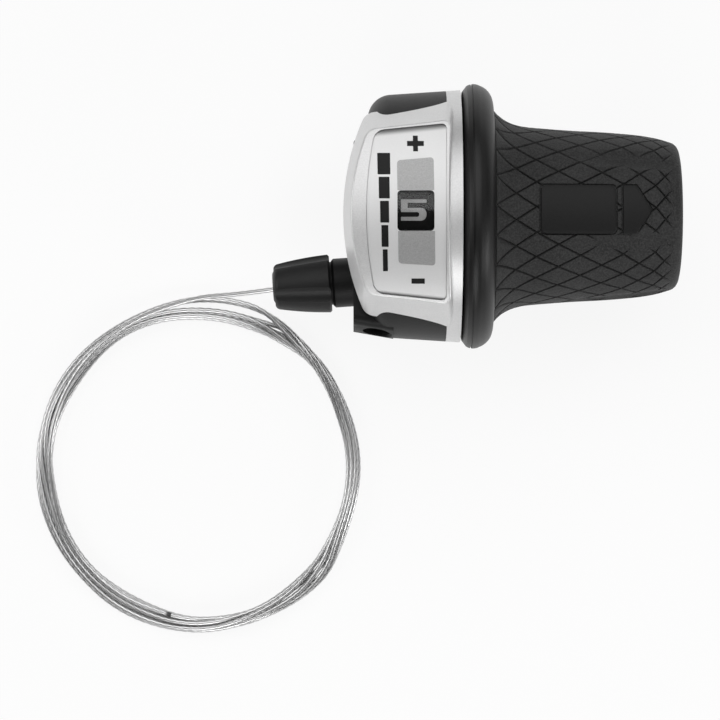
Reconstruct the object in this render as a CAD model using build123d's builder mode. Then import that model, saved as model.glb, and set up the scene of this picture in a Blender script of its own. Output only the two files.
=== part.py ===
from build123d import *
import os
from math import atan2, cos, degrees, pi, radians, sin, sqrt, tan

os.makedirs("parts", exist_ok=True)

# Frame: origin on the handlebar axis at the inboard end of the housing,
# +X outboard along the bar, +Z up through the number window.
# Angles about the bar run from +Y towards +Z, so the window is at 90 degrees.

# Handlebar, sleeve and running fits
bar_diameter = 22.2
bar_clearance = 0.05
sleeve_wall = 1.5
running_clearance = 0.08
core_wall = 1.6
bore_radius = bar_diameter / 2 + bar_clearance
sleeve_radius = bore_radius + sleeve_wall
core_bore_radius = sleeve_radius + running_clearance
core_radius = core_bore_radius + core_wall

# Drum of the housing
hub_radius = 16.2
drum_face_x = 3.0
drum_end_x = 22.3
drum_outboard_radius = 26.45
drum_flare = 1.25
drum_wall = 1.8
drum_inboard_radius = drum_outboard_radius - drum_flare
shoulder_fillet = 5.0
edge_round = 0.8
cavity_x = 5.2
cavity_inboard_radius = drum_inboard_radius - drum_wall
cavity_fillet = 2.5
inner_hub_end_x = 8.3
opening_width = 31.0
opening_floor = 11.0

# Reach of the cutting shapes past the faces they cut
overrun = 1.0
root = 0.5
cut_height = 20.0
cut_from_x = -10.0
cut_length = 50.0

# Cover band around the outboard end of the drum
band_start_x = 19.3
band_thickness = 1.15
band_rim = 1.1
band_inner_radius = drum_outboard_radius - band_thickness
cavity_outboard_radius = band_inner_radius - band_rim
band_from_angle = -12.0
band_sweep = 204.0
band_rim_slope = 0.2
seat_clearance = 0.05

# Grip core, collar and cam
washer_thickness = 0.4
end_float = 0.05
cam_radius = 16.6
cam_start_x = inner_hub_end_x + washer_thickness + end_float
collar_start_x = 22.7
collar_step = 1.25
collar_left_step = 0.35
collar_height = 4.5
collar_left_radius = drum_outboard_radius - collar_left_step
collar_peak_radius = drum_outboard_radius + collar_step
collar_peak_x = 24.6
collar_lead_in = (1.0, 0.4)
collar_crest = (1.8, 0.3)
collar_fall = (0.75, 1.75)
collar_end_x = 29.1
collar_end_radius = collar_peak_radius - collar_height
collar_web = 2.1
collar_rim_gap = 1.0
collar_rim_radius = cavity_outboard_radius - collar_rim_gap
collar_groove_width = 0.3
collar_groove_depth = 0.35
web_x = collar_end_x - collar_web

# Rubber sleeve
rubber_start_step = 0.6
rubber_start_radius = collar_end_radius - rubber_start_step
grip_end_x = 68.0
rubber_lip_x = 65.4
rubber_lip_radius = 11.6
rubber_tip_radius = 13.4
rubber_tip_bulge = (0.6, 0.35)
rubber_stations = [
    (30.8, 20.7),
    (34.1, 19.1),
    (37.5, 18.6),
    (44.2, 18.06),
    (52.6, 17.6),
    (57.6, 17.2),
    (62.7, 16.5),
    (66.0, 15.6),
]
flute_count = 6
flute_first_angle = 50.0
flute_radius = 5.0
flute_inboard = (34.0, 19.15)
flute_outboard = (66.0, 15.5)
flute_overrun = 6.0
pad_from_x = 38.5
pad_length = 15.4
pad_middle_x = pad_from_x + pad_length / 2
pad_width = 10.2
pad_angle = 87.5
pad_height = 0.35
pad_corner = 1.2
arrow_from_x = 55.4
arrow_shoulder_x = 58.0
arrow_tip_x = 61.3

# Outboard end of the bar sleeve
core_end_x = 62.6
ring_thickness = 0.65
ring_groove_depth = 0.5
ring_outer_radius = 14.0
ring_gap_angle = 40.0
sleeve_end_x = 65.0
outer_washer_x = core_end_x + end_float
ring_x = outer_washer_x + washer_thickness + end_float

# Twist: five positions
click_angle = 22.0
click_count = 4
twist_range = click_angle * click_count
pull_per_click = 3.3
carriage_travel = pull_per_click * click_count

# Number ring
number_ring_x = 9.0
number_ring_wall = 1.2
number_margin_angle = 15.0

# Cable carriage and follower
carriage_depth = 3.8
carriage_top_gap = 1.2
carriage_bottom_gap = 0.5
carriage_radius = cavity_inboard_radius - carriage_depth
adjuster_y = -13.2
carriage_angle = 180.0 + degrees(atan2(sqrt(carriage_radius**2 - adjuster_y**2), -adjuster_y))
adjuster_z = carriage_radius * sin(radians(carriage_angle))
carriage_x = 5.6
carriage_length = 7.3
carriage_width = 7.6
carriage_bottom_radius = cam_radius + carriage_bottom_gap
carriage_top_radius = cavity_inboard_radius - carriage_top_gap
carriage_corner = 0.4
guide_clearance = 0.25
guide_wall = 1.2
guide_bottom_gap = 1.4
guide_bottom_radius = cam_radius + guide_bottom_gap
guide_root = 0.4
follower_offset_x = 5.6
follower_radius = 1.45
follower_clearance = 0.1
follower_sunk = 0.8
follower_top_radius = carriage_top_radius - follower_sunk
groove_overrun = 0.3
wire_diameter = 1.1
wire_slot_clearance = 0.15
wire_hole_from = -4.0
wire_hole_length = 6.0
wire_meets_x = drum_face_x + 0.4
nipple_radius = 2.0
nipple_length = 3.0
nipple_offset_x = 0.8
nipple_clearance = 0.06

# Detent
detent_angle = 322.0
detent_x = 13.2
detent_width = 6.0
detent_notch_radius = 1.5
detent_notch_rise = 0.6
detent_notch_centre = cam_radius + detent_notch_rise
detent_leaf = 0.5
detent_half_span = 7.5
detent_foot_gap = 1.1
detent_foot = (detent_half_span, cavity_inboard_radius - detent_foot_gap)
detent_nose_depth = 0.7
detent_nose_radius = cam_radius - detent_nose_depth
detent_bend = 1.2
detent_side_gap = 0.4
detent_post_gap = 0.8
detent_post_wall = 1.0
detent_post_height = 3.0
detent_post_middle = cavity_inboard_radius - detent_foot_gap - detent_post_gap / 4

# Clamp screw, radial
clamp_angle = 166.0
clamp_x = 4.8
clamp_block_end_x = inner_hub_end_x
clamp_half_width = 5.0
clamp_inner_half_width = 4.0
clamp_step = 0.8
clamp_rise = 1.5
clamp_inboard_radius = drum_inboard_radius - clamp_step
clamp_outboard_radius = clamp_inboard_radius + clamp_rise
clamp_access_radius = 2.9
clamp_mouth_radius = 3.4
clamp_mouth_depth = 0.8
clamp_mouth_above = 0.2
clamp_shoulder = 2.0
insert_radius = 3.2
insert_from_radius = 13.0
insert_length = 6.5
grub_radius = 2.5
grub_clearance = 0.03
grub_length = 8.0
grub_tip_radius = 11.6
grub_socket_flats = 2.5
grub_socket_depth = 2.5
grub_chamfer = 0.4

# Adjuster: axis leans a little forward from the bar's direction
adjuster_lean = 3.8
boss_radius = 5.25
boss_root = 3.5
boss_length = 7.6
boss_chamfer = 0.5
neck_radius = 4.6
neck_length = 0.9
neck_clearance = 0.2
barrel_thread_radius = 2.5
barrel_start = 0.8
barrel_end_gap = 0.3
barrel_hex_start = 7.8
barrel_hex_flats = 5.6
barrel_hex_clearance = 0.05
barrel_head_start = 17.6
barrel_head_radius = 3.85
barrel_end = 20.3
barrel_end_chamfer = (0.5, 1.0)
barrel_wire_radius = 1.1
casing_seat_radius = 2.1
casing_seat_depth = 5.5
knob_start = 7.95
knob_end = 19.95
knob_radius = 6.2
knob_tip_radius = 4.9
knob_tip_length = 1.05
knob_tip_bulge = (0.42, 0.23)
knob_side_bulge = 0.2
knob_edge = 0.35
knob_mouth_radius = 4.0
knob_lip = 0.15
knob_floor = 13.0
knob_flutes = 4
knob_flute_from = -24.0
knob_flute_radius = 3.2
knob_flute_depth = 0.45
spring_wire = 0.5
spring_mean_radius = 3.62
spring_turns = 4.0
spring_end_gap = 0.02

# Cover
crown_radius = 45.0
crown_rise = 0.25
crown_top = drum_outboard_radius + crown_rise
cover_bottom = 12.4
cover_wall = 1.5
cover_corner = 3.0
cover_end_corner = 1.5
hollow_corner = 1.5
cover_low_left = (2.5, 20.8)
cover_low_bow = -2.1
cover_low_right = (21.0, 23.45)
cover_high_left = (3.0, 15.5)
cover_high_bow = -0.5
cover_high_right = (19.6, 16.8)
crown_round = 0.5
label_left = (4.4, 16.6)
label_bow = 2.6
label_right = (19.0, 18.1)
label_depth = 0.7
label_thickness = 0.4
label_clearance = 0.12
label_corner = 2.6
label_end_corner = 1.0
window_x = 12.7
window_y = 0.15
window_length = 7.4
window_width = 8.1
window_corner = 0.8
window_clearance = 0.06
lens_proud = 0.05
lens_flange = 0.9
lens_flange_thickness = 0.8
screw_angle = 32.5
screw_edge_distance = 6.2
screw_circle_radius = drum_inboard_radius - screw_edge_distance
screw_head_radius = 2.0
screw_head_height = 1.3
screw_head_sunk = 0.7
screw_head_clearance = 0.15
screw_radius = 1.1
screw_clearance = 0.1
screw_length = 4.6
slot_length = 2.4
slot_width = 0.6
slot_depth = 0.8
post_radius = 1.8
post_height = 11.6
post_web = 2.9
post_clearance = 0.4
post_from_x = cavity_x + 0.15
post_to_x = 8.7
post_end_x = post_to_x + 0.3

# Wire outside the adjuster: lead, then the coil lying on the floor
floor_z = -collar_peak_radius
coil_centre = (-33.3, -52.9)
coil_radius = 34.05
coil_section_radius = 2.1
coil_z = floor_z + coil_section_radius
lead_run = [
    (-10.5, -14.1, adjuster_z),
    (-17.6, -15.1, adjuster_z - 0.26),
    (-25.6, -16.1, adjuster_z - 1.5),
]
lead_on_coil = [
    (92.0, coil_radius + 2.15, floor_z + 10.1),
    (118.0, coil_radius + 0.95, floor_z + 8.1),
    (146.0, coil_radius + 0.45, floor_z + 6.4),
    (174.0, coil_radius + 0.15, floor_z + 5.1),
    (202.0, coil_radius - 0.05, floor_z + 4.1),
]
lead_bend_share = 0.45


def on_bar(angle, radius):
    """Point in the Y-Z plane at an angle about the bar."""
    return (radius * cos(radians(angle)), radius * sin(radians(angle)))


def radial_section(x, angle):
    """Cross-section plane at x whose local y axis is the radius at that angle."""
    return Plane(
        origin=(x, 0, 0),
        x_dir=(0, sin(radians(angle)), -cos(radians(angle))),
        z_dir=(1, 0, 0),
    )


def lengthwise_section(angle):
    """Plane through the bar axis: local x along the bar, local y the radius."""
    return Plane(
        origin=(0, 0, 0),
        x_dir=(1, 0, 0),
        z_dir=(0, -sin(radians(angle)), cos(radians(angle))),
    )


def radial_drill(x, angle, radius):
    """Plane at a radius, facing outwards, local x along the bar."""
    y, z = on_bar(angle, radius)
    return Plane(
        origin=(x, y, z),
        x_dir=(1, 0, 0),
        z_dir=(0, cos(radians(angle)), sin(radians(angle))),
    )


adjuster_dir = (-cos(radians(adjuster_lean)), -sin(radians(adjuster_lean)), 0.0)


def along_adjuster(distance):
    """Cross-section plane of the adjuster, facing outwards along its axis."""
    return Plane(
        origin=(
            drum_face_x + adjuster_dir[0] * distance,
            adjuster_y + adjuster_dir[1] * distance,
            adjuster_z,
        ),
        x_dir=(0, 0, 1),
        z_dir=adjuster_dir,
    )


def adjuster_profile():
    """Plane through the adjuster axis: local x along the axis, local y the radius."""
    return Plane(
        origin=(drum_face_x, adjuster_y, adjuster_z),
        x_dir=adjuster_dir,
        z_dir=(adjuster_dir[1], -adjuster_dir[0], 0),
    )


adjuster_axis = Axis((drum_face_x, adjuster_y, adjuster_z), adjuster_dir)
cam_lead = carriage_travel / twist_range * 360.0
follower_x = carriage_x + follower_offset_x


def drum_radius(x):
    """Outer radius of the drum at x, which flares towards the collar."""
    share = (x - drum_face_x) / (drum_end_x - drum_face_x)
    return drum_inboard_radius + share * (drum_outboard_radius - drum_inboard_radius)


# Clamp block: the drum's outline carried on to the inboard face, on one side only
with BuildPart() as clamp_block:
    with BuildSketch(Plane.XY):
        with BuildLine():
            Polyline(
                (0, bore_radius),
                (0, clamp_inboard_radius),
                (clamp_block_end_x, clamp_outboard_radius),
                (clamp_block_end_x, bore_radius),
                close=True,
            )
        make_face()
    revolve(axis=Axis.X)
    with BuildSketch(radial_section(0, clamp_angle)):
        with Locations((0, drum_outboard_radius / 2)):
            Rectangle(2 * clamp_half_width, drum_outboard_radius)
    extrude(amount=clamp_block_end_x, mode=Mode.INTERSECT)
    fillet(clamp_block.edges().filter_by(GeomType.HYPERBOLA), radius=clamp_shoulder)
    fillet(
        clamp_block.edges().group_by(Axis.X)[0].filter_by(GeomType.CIRCLE).sort_by(Edge.length)[-1],
        radius=edge_round,
    )

# Housing: drum with a closed inboard wall, hub, bosses and the long bar sleeve
with BuildPart() as housing:
    with BuildSketch(Plane.XY) as drum_outline:
        with BuildLine():
            Polyline(
                (0, bore_radius),
                (0, hub_radius),
                (drum_face_x, hub_radius),
                (drum_face_x, drum_inboard_radius),
                (drum_end_x, drum_outboard_radius),
                (drum_end_x, bore_radius),
                close=True,
            )
        make_face()
        fillet(
            drum_outline.vertices().sort_by_distance((drum_face_x, drum_inboard_radius))[0],
            shoulder_fillet,
        )
        fillet(drum_outline.vertices().sort_by_distance((0, hub_radius))[0], edge_round)
    revolve(axis=Axis.X)
    add(clamp_block.part)
    with BuildSketch(along_adjuster(-boss_root)):
        Circle(boss_radius)
    extrude(amount=boss_root + boss_length)
    chamfer(
        housing.edges().filter_by(GeomType.CIRCLE).sort_by(adjuster_axis)[-1],
        length=boss_chamfer,
    )
    with BuildSketch(along_adjuster(boss_length)):
        Circle(neck_radius)
    extrude(amount=neck_length)
    with BuildSketch(Plane.XY) as cavity_outline:
        with BuildLine():
            Polyline(
                (inner_hub_end_x, bore_radius),
                (inner_hub_end_x, hub_radius),
                (cavity_x, hub_radius),
                (cavity_x, cavity_inboard_radius),
                (drum_end_x, cavity_outboard_radius),
                (drum_end_x, bore_radius),
                close=True,
            )
        make_face()
        fillet(
            cavity_outline.vertices().sort_by_distance((cavity_x, cavity_inboard_radius))[0],
            cavity_fillet,
        )
    revolve(axis=Axis.X, mode=Mode.SUBTRACT)
    with BuildSketch(radial_section(cavity_x - root, clamp_angle)):
        with Locations((0, (bore_radius + cavity_inboard_radius) / 2)):
            Rectangle(2 * clamp_inner_half_width, cavity_inboard_radius - bore_radius + 2 * root)
    extrude(amount=clamp_block_end_x - cavity_x + root)
    with BuildSketch(Plane.XY):
        with BuildLine():
            Polyline(
                (inner_hub_end_x - root, bore_radius),
                (inner_hub_end_x - root, sleeve_radius),
                (ring_x, sleeve_radius),
                (ring_x, sleeve_radius - ring_groove_depth),
                (ring_x + ring_thickness, sleeve_radius - ring_groove_depth),
                (ring_x + ring_thickness, sleeve_radius),
                (sleeve_end_x, sleeve_radius),
                (sleeve_end_x, bore_radius),
                close=True,
            )
        make_face()
    revolve(axis=Axis.X)
    for side in (-1, 1):
        with BuildSketch(radial_section(cavity_x - root, carriage_angle)):
            with Locations(
                (
                    side * (carriage_width / 2 + guide_clearance + guide_wall / 2),
                    (guide_bottom_radius + cavity_inboard_radius) / 2,
                )
            ):
                Rectangle(guide_wall, cavity_inboard_radius - guide_bottom_radius + 2 * guide_root)
        extrude(amount=drum_end_x - cavity_x + root)
        with BuildSketch(radial_section(detent_x - detent_side_gap, detent_angle)):
            with Locations(
                (
                    side * (detent_foot[0] + detent_post_gap + detent_post_wall / 2),
                    detent_post_middle,
                )
            ):
                Rectangle(detent_post_wall, detent_post_height)
        extrude(amount=detent_width + 2 * detent_side_gap)
    with BuildSketch(Plane.XY):
        with BuildLine():
            Polyline(
                (-overrun, 0),
                (-overrun, bore_radius),
                (sleeve_end_x + overrun, bore_radius),
                (sleeve_end_x + overrun, 0),
                close=True,
            )
        make_face()
    revolve(axis=Axis.X, mode=Mode.SUBTRACT)
    with BuildSketch(lengthwise_section(band_from_angle)):
        with BuildLine():
            Polyline(
                (band_start_x - seat_clearance, band_inner_radius - seat_clearance),
                (drum_end_x + overrun, band_inner_radius - seat_clearance),
                (drum_end_x + overrun, drum_outboard_radius + overrun),
                (band_start_x - seat_clearance, drum_outboard_radius + overrun),
                close=True,
            )
        make_face()
    revolve(axis=Axis.X, revolution_arc=band_sweep, mode=Mode.SUBTRACT)
    with BuildSketch(Plane.XY.offset(opening_floor)):
        with Locations(((cavity_x + drum_end_x) / 2, 0)):
            Rectangle(drum_end_x - cavity_x, opening_width)
    extrude(amount=cut_height, mode=Mode.SUBTRACT)
    with BuildSketch(lengthwise_section(band_from_angle)):
        with BuildLine():
            Polyline(
                (band_start_x - seat_clearance, cavity_outboard_radius - band_rim_slope),
                (drum_end_x, cavity_outboard_radius),
                (drum_end_x, band_inner_radius - seat_clearance),
                (band_start_x - seat_clearance, band_inner_radius - seat_clearance),
                close=True,
            )
        make_face()
    revolve(axis=Axis.X, revolution_arc=band_sweep)
    for side in (-1, 1):
        y, z = on_bar(screw_angle, screw_circle_radius)
        with BuildSketch(Plane.XY.offset(z - post_radius - post_clearance)):
            with Locations(((cavity_x + post_end_x) / 2, side * y)):
                Rectangle(post_end_x - cavity_x, 2 * (post_radius + post_clearance))
        extrude(amount=cut_height, mode=Mode.SUBTRACT)
        with BuildSketch(Plane.YZ.offset(drum_face_x - overrun)):
            with Locations((side * y, z)):
                Circle(screw_radius + screw_clearance)
        extrude(amount=cavity_x - drum_face_x + 2 * overrun, mode=Mode.SUBTRACT)
        with BuildSketch(Plane.YZ.offset(drum_face_x - overrun)):
            with Locations((side * y, z)):
                Circle(screw_head_radius + screw_head_clearance)
        extrude(amount=overrun + screw_head_sunk, mode=Mode.SUBTRACT)
    with BuildSketch(radial_drill(clamp_x, clamp_angle, bore_radius - overrun)):
        Circle(grub_radius + grub_clearance)
    extrude(amount=insert_from_radius - bore_radius + 2 * overrun, mode=Mode.SUBTRACT)
    with BuildSketch(radial_drill(clamp_x, clamp_angle, insert_from_radius)):
        Circle(insert_radius)
    extrude(amount=insert_length, mode=Mode.SUBTRACT)
    with BuildSketch(radial_drill(clamp_x, clamp_angle, insert_from_radius)):
        Circle(clamp_access_radius)
    extrude(amount=cut_height, mode=Mode.SUBTRACT)
    with BuildSketch(radial_drill(clamp_x, clamp_angle, clamp_outboard_radius - clamp_mouth_depth)):
        Circle(clamp_access_radius)
    with BuildSketch(radial_drill(clamp_x, clamp_angle, clamp_outboard_radius + clamp_mouth_above)):
        Circle(clamp_mouth_radius)
    loft(mode=Mode.SUBTRACT)
    with BuildSketch(along_adjuster(barrel_start - barrel_end_gap)):
        Circle(barrel_thread_radius + seat_clearance)
    extrude(amount=boss_length, mode=Mode.SUBTRACT)
    with BuildSketch(along_adjuster(boss_length)):
        Circle(barrel_hex_flats / 2 / cos(radians(30)) + neck_clearance)
    extrude(amount=neck_length, mode=Mode.SUBTRACT)
    with BuildSketch(along_adjuster(wire_hole_from)):
        Circle(wire_diameter)
    extrude(amount=wire_hole_length, mode=Mode.SUBTRACT)
housing.part.label = "housing"
export_step(housing.part, "parts/housing.step")


def cover_outline(inset, bottom):
    """Upper left corner, middle of the left bow and upper right corner of the cover."""
    left = cover_low_left if bottom else cover_high_left
    bow = cover_low_bow if bottom else cover_high_bow
    right = cover_low_right if bottom else cover_high_right
    return (
        (left[0] + inset, left[1] - inset),
        (bow + inset, 0),
        (right[0] - inset, right[1] - inset),
    )


def label_outline(inset):
    """Upper left corner, middle of the left bow and upper right corner of the label."""
    return (
        (label_left[0] + inset, label_left[1] - inset),
        (label_bow + inset, 0),
        (label_right[0] - inset, label_right[1] - inset),
    )


def bowed_edges(points):
    """Four edges of an outline with a bowed left side."""
    (lx, ly), (mx, my), (rx, ry) = points
    ThreePointArc((lx, -ly), (mx, my), (lx, ly))
    Line((lx, ly), (rx, ry))
    Line((rx, ry), (rx, -ry))
    Line((rx, -ry), (lx, -ly))


def round_corners(outline, left, right):
    """Rounds the two left and the two right corners of a bowed outline."""
    fillet(outline.vertices().group_by(Axis.X)[-1], right)
    fillet(outline.vertices().group_by(Axis.X)[0], left)


def crown_disc(radius):
    """Circle of the crowned top, in the Y-Z plane."""
    with Locations((0, crown_top - crown_radius)):
        Circle(radius)


# Label recess and the label itself, both following the crown
with BuildPart() as label_recess:
    with BuildSketch(Plane.XY.offset(cover_bottom)) as recess_face:
        with BuildLine():
            bowed_edges(label_outline(0))
        make_face()
        round_corners(recess_face, label_corner, label_end_corner)
    extrude(amount=cut_height)
    with BuildSketch(Plane.YZ.offset(cut_from_x)):
        crown_disc(crown_radius - label_depth)
    extrude(amount=cut_length, mode=Mode.SUBTRACT)

with BuildPart() as face_label:
    with BuildSketch(Plane.XY.offset(cover_bottom)) as label_face:
        with BuildLine():
            bowed_edges(label_outline(label_clearance))
        make_face()
        round_corners(label_face, label_corner, label_end_corner)
        with Locations((window_x, window_y)):
            RectangleRounded(
                window_length + 2 * window_clearance,
                window_width + 2 * window_clearance,
                window_corner,
                mode=Mode.SUBTRACT,
            )
    extrude(amount=cut_height)
    with BuildSketch(Plane.YZ.offset(cut_from_x)):
        crown_disc(crown_radius - label_depth + label_thickness)
    extrude(amount=cut_length, mode=Mode.INTERSECT)
    with BuildSketch(Plane.YZ.offset(cut_from_x)):
        crown_disc(crown_radius - label_depth)
    extrude(amount=cut_length, mode=Mode.SUBTRACT)
face_label.part.label = "face_label"
export_step(face_label.part, "parts/face_label.step")

# Hollow under the cover's roof
with BuildPart() as cover_hollow:
    with BuildSketch(Plane.XY.offset(cover_bottom - root)) as hollow_low:
        with BuildLine():
            bowed_edges(cover_outline(cover_wall, True))
        make_face()
        fillet(hollow_low.vertices(), hollow_corner)
    with BuildSketch(Plane.XY.offset(crown_top)) as hollow_high:
        with BuildLine():
            bowed_edges(cover_outline(cover_wall, False))
        make_face()
        fillet(hollow_high.vertices(), hollow_corner)
    loft(ruled=True)
    with BuildSketch(Plane.YZ.offset(cut_from_x)):
        crown_disc(crown_radius - cover_wall)
    extrude(amount=cut_length, mode=Mode.INTERSECT)

# Space taken by the drum under the cover
with BuildPart() as drum_space:
    with BuildSketch(Plane.XY) as space_outline:
        with BuildLine():
            Polyline(
                (-seat_clearance, 0),
                (-seat_clearance, hub_radius + seat_clearance),
                (drum_face_x - seat_clearance, hub_radius + seat_clearance),
                (drum_face_x - seat_clearance, drum_inboard_radius + seat_clearance),
                (collar_end_x, drum_radius(collar_end_x) + seat_clearance),
                (collar_end_x, 0),
                close=True,
            )
        make_face()
        fillet(
            space_outline.vertices().sort_by_distance((drum_face_x, drum_inboard_radius))[0],
            shoulder_fillet,
        )
    revolve(axis=Axis.X)
    with BuildSketch(Plane.XY.offset(opening_floor)):
        with Locations(((cavity_x + collar_end_x) / 2, 0)):
            Rectangle(collar_end_x - cavity_x, opening_width - 4 * seat_clearance)
    extrude(amount=cut_height, mode=Mode.SUBTRACT)
    with BuildSketch(Plane.XY):
        with BuildLine():
            Polyline(
                (cavity_x, 0),
                (cavity_x, cavity_outboard_radius),
                (band_start_x - 2 * seat_clearance, cavity_outboard_radius),
                (band_start_x - 2 * seat_clearance, band_inner_radius),
                (collar_end_x, band_inner_radius),
                (collar_end_x, 0),
                close=True,
            )
        make_face()
    revolve(axis=Axis.X)

# Top cover: bowed, tapering cap with a crowned top, and a half band round the drum
with BuildPart() as top_cover:
    with BuildSketch(Plane.XY.offset(cover_bottom)) as cover_low:
        with BuildLine():
            bowed_edges(cover_outline(0, True))
        make_face()
        round_corners(cover_low, cover_corner, cover_end_corner)
    with BuildSketch(Plane.XY.offset(crown_top + root)) as cover_high:
        with BuildLine():
            bowed_edges(cover_outline(0, False))
        make_face()
        round_corners(cover_high, cover_corner, cover_end_corner)
    loft(ruled=True)
    with BuildSketch(Plane.YZ.offset(cut_from_x)):
        crown_disc(crown_radius)
    extrude(amount=cut_length, mode=Mode.INTERSECT)
    crown_edges = top_cover.faces().sort_by(Axis.Z)[-1].edges()
    fillet(crown_edges, radius=crown_round)
    add(drum_space.part, mode=Mode.SUBTRACT)
    with BuildSketch(lengthwise_section(band_from_angle + 1)):
        with BuildLine():
            Polyline(
                (band_start_x, band_inner_radius),
                (drum_end_x, band_inner_radius),
                (drum_end_x, drum_outboard_radius),
                (band_start_x, drum_radius(band_start_x)),
                close=True,
            )
        make_face()
    revolve(axis=Axis.X, revolution_arc=band_sweep - 2)
    add(cover_hollow.part, mode=Mode.SUBTRACT)
    add(label_recess.part, mode=Mode.SUBTRACT)
    with BuildSketch(Plane.XY.offset(cover_bottom)):
        with Locations((window_x, window_y)):
            RectangleRounded(
                window_length + 2 * window_clearance,
                window_width + 2 * window_clearance,
                window_corner,
            )
    extrude(amount=cut_height, mode=Mode.SUBTRACT)
    for side in (-1, 1):
        y, z = on_bar(screw_angle, screw_circle_radius)
        with BuildSketch(Plane.YZ.offset(post_from_x)):
            with Locations((side * y, z)):
                Circle(post_radius)
            with Locations((side * y, z + post_height / 2)):
                Rectangle(post_web, post_height)
        extrude(amount=post_to_x - post_from_x)
        with BuildSketch(Plane.YZ.offset(post_from_x)):
            with Locations((side * y, z)):
                Circle(screw_radius)
        extrude(amount=screw_length, mode=Mode.SUBTRACT)
top_cover.part.label = "top_cover"
export_step(top_cover.part, "parts/top_cover.step")

# Window lens with a flange under the roof
with BuildPart() as window_lens:
    with BuildSketch(Plane.XY.offset(cover_bottom)):
        with Locations((window_x, window_y)):
            RectangleRounded(window_length, window_width, window_corner)
    extrude(amount=cut_height)
    with BuildSketch(Plane.YZ.offset(cut_from_x)):
        crown_disc(crown_radius - label_depth + label_thickness + lens_proud)
    extrude(amount=cut_length, mode=Mode.INTERSECT)
    with BuildSketch(Plane.YZ.offset(cut_from_x)):
        crown_disc(crown_radius - cover_wall - lens_flange_thickness)
    extrude(amount=cut_length, mode=Mode.SUBTRACT)
    with BuildSketch(Plane.YZ.offset(window_x - window_length / 2 - lens_flange)):
        crown_disc(crown_radius - cover_wall)
        with Locations((0, crown_top - crown_radius)):
            Circle(crown_radius - cover_wall - lens_flange_thickness, mode=Mode.SUBTRACT)
        with Locations((window_y, crown_top)):
            Rectangle(window_width + 2 * lens_flange, crown_top - cover_bottom, mode=Mode.INTERSECT)
    extrude(amount=window_length + 2 * lens_flange)
window_lens.part.label = "window_lens"
export_step(window_lens.part, "parts/window_lens.step")

# Cover screws
with BuildPart() as cover_screws:
    for side in (-1, 1):
        y, z = on_bar(screw_angle, screw_circle_radius)
        with BuildSketch(Plane.YZ.offset(drum_face_x + screw_head_sunk)):
            with Locations((side * y, z)):
                Circle(screw_radius)
        extrude(amount=screw_length)
        with BuildSketch(Plane.YZ.offset(drum_face_x + screw_head_sunk - screw_head_height)):
            with Locations((side * y, z)):
                Circle(screw_head_radius)
        extrude(amount=screw_head_height)
        with BuildSketch(Plane.YZ.offset(drum_face_x + screw_head_sunk - screw_head_height)):
            with Locations((side * y, z)):
                Rectangle(slot_length, slot_width)
                Rectangle(slot_width, slot_length)
        extrude(amount=slot_depth, mode=Mode.SUBTRACT)
cover_screws.part.label = "cover_screws"
export_step(cover_screws.part, "parts/cover_screws.step")

# Thread insert and clamp screw
with BuildPart() as thread_insert:
    with BuildSketch(radial_drill(clamp_x, clamp_angle, insert_from_radius)):
        Circle(insert_radius)
        Circle(grub_radius + grub_clearance, mode=Mode.SUBTRACT)
    extrude(amount=insert_length)
thread_insert.part.label = "thread_insert"
export_step(thread_insert.part, "parts/thread_insert.step")

with BuildPart() as clamp_screw:
    with BuildSketch(radial_drill(clamp_x, clamp_angle, grub_tip_radius)):
        Circle(grub_radius)
    extrude(amount=grub_length)
    chamfer(clamp_screw.edges().filter_by(GeomType.CIRCLE), length=grub_chamfer)
    with BuildSketch(radial_drill(clamp_x, clamp_angle, grub_tip_radius + grub_length)):
        RegularPolygon(grub_socket_flats / 2, 6, major_radius=False)
    extrude(amount=-grub_socket_depth, mode=Mode.SUBTRACT)
clamp_screw.part.label = "clamp_screw"
export_step(clamp_screw.part, "parts/clamp_screw.step")

# Thrust washers on the bar sleeve and the split retaining ring
with BuildPart() as inner_washer:
    with BuildSketch(Plane.YZ.offset(inner_hub_end_x)):
        Circle(hub_radius)
        Circle(core_bore_radius, mode=Mode.SUBTRACT)
    extrude(amount=washer_thickness)
inner_washer.part.label = "inner_washer"
export_step(inner_washer.part, "parts/inner_washer.step")

with BuildPart() as outer_washer:
    with BuildSketch(Plane.YZ.offset(outer_washer_x)):
        Circle(ring_outer_radius)
        Circle(core_bore_radius, mode=Mode.SUBTRACT)
    extrude(amount=washer_thickness)
outer_washer.part.label = "outer_washer"
export_step(outer_washer.part, "parts/outer_washer.step")

with BuildPart() as retaining_ring:
    with BuildSketch(lengthwise_section(270 + ring_gap_angle / 2)):
        with BuildLine():
            Polyline(
                (ring_x, sleeve_radius - ring_groove_depth),
                (ring_x + ring_thickness, sleeve_radius - ring_groove_depth),
                (ring_x + ring_thickness, ring_outer_radius),
                (ring_x, ring_outer_radius),
                close=True,
            )
        make_face()
    revolve(axis=Axis.X, revolution_arc=360 - ring_gap_angle)
retaining_ring.part.label = "retaining_ring"
export_step(retaining_ring.part, "parts/retaining_ring.step")

# Detent leaf: a bent strip from wall to wall, its nose in a notch of the cam
with BuildPart() as detent_spring:
    with BuildSketch(radial_section(detent_x, detent_angle)):
        with BuildLine() as leaf_line:
            FilletPolyline(
                (-detent_foot[0], detent_foot[1]),
                (0, detent_nose_radius),
                (detent_foot[0], detent_foot[1]),
                radius=detent_bend,
            )
        trace(line_width=detent_leaf)
    extrude(amount=detent_width)
detent_spring.part.label = "detent_spring"
export_step(detent_spring.part, "parts/detent_spring.step")

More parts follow.
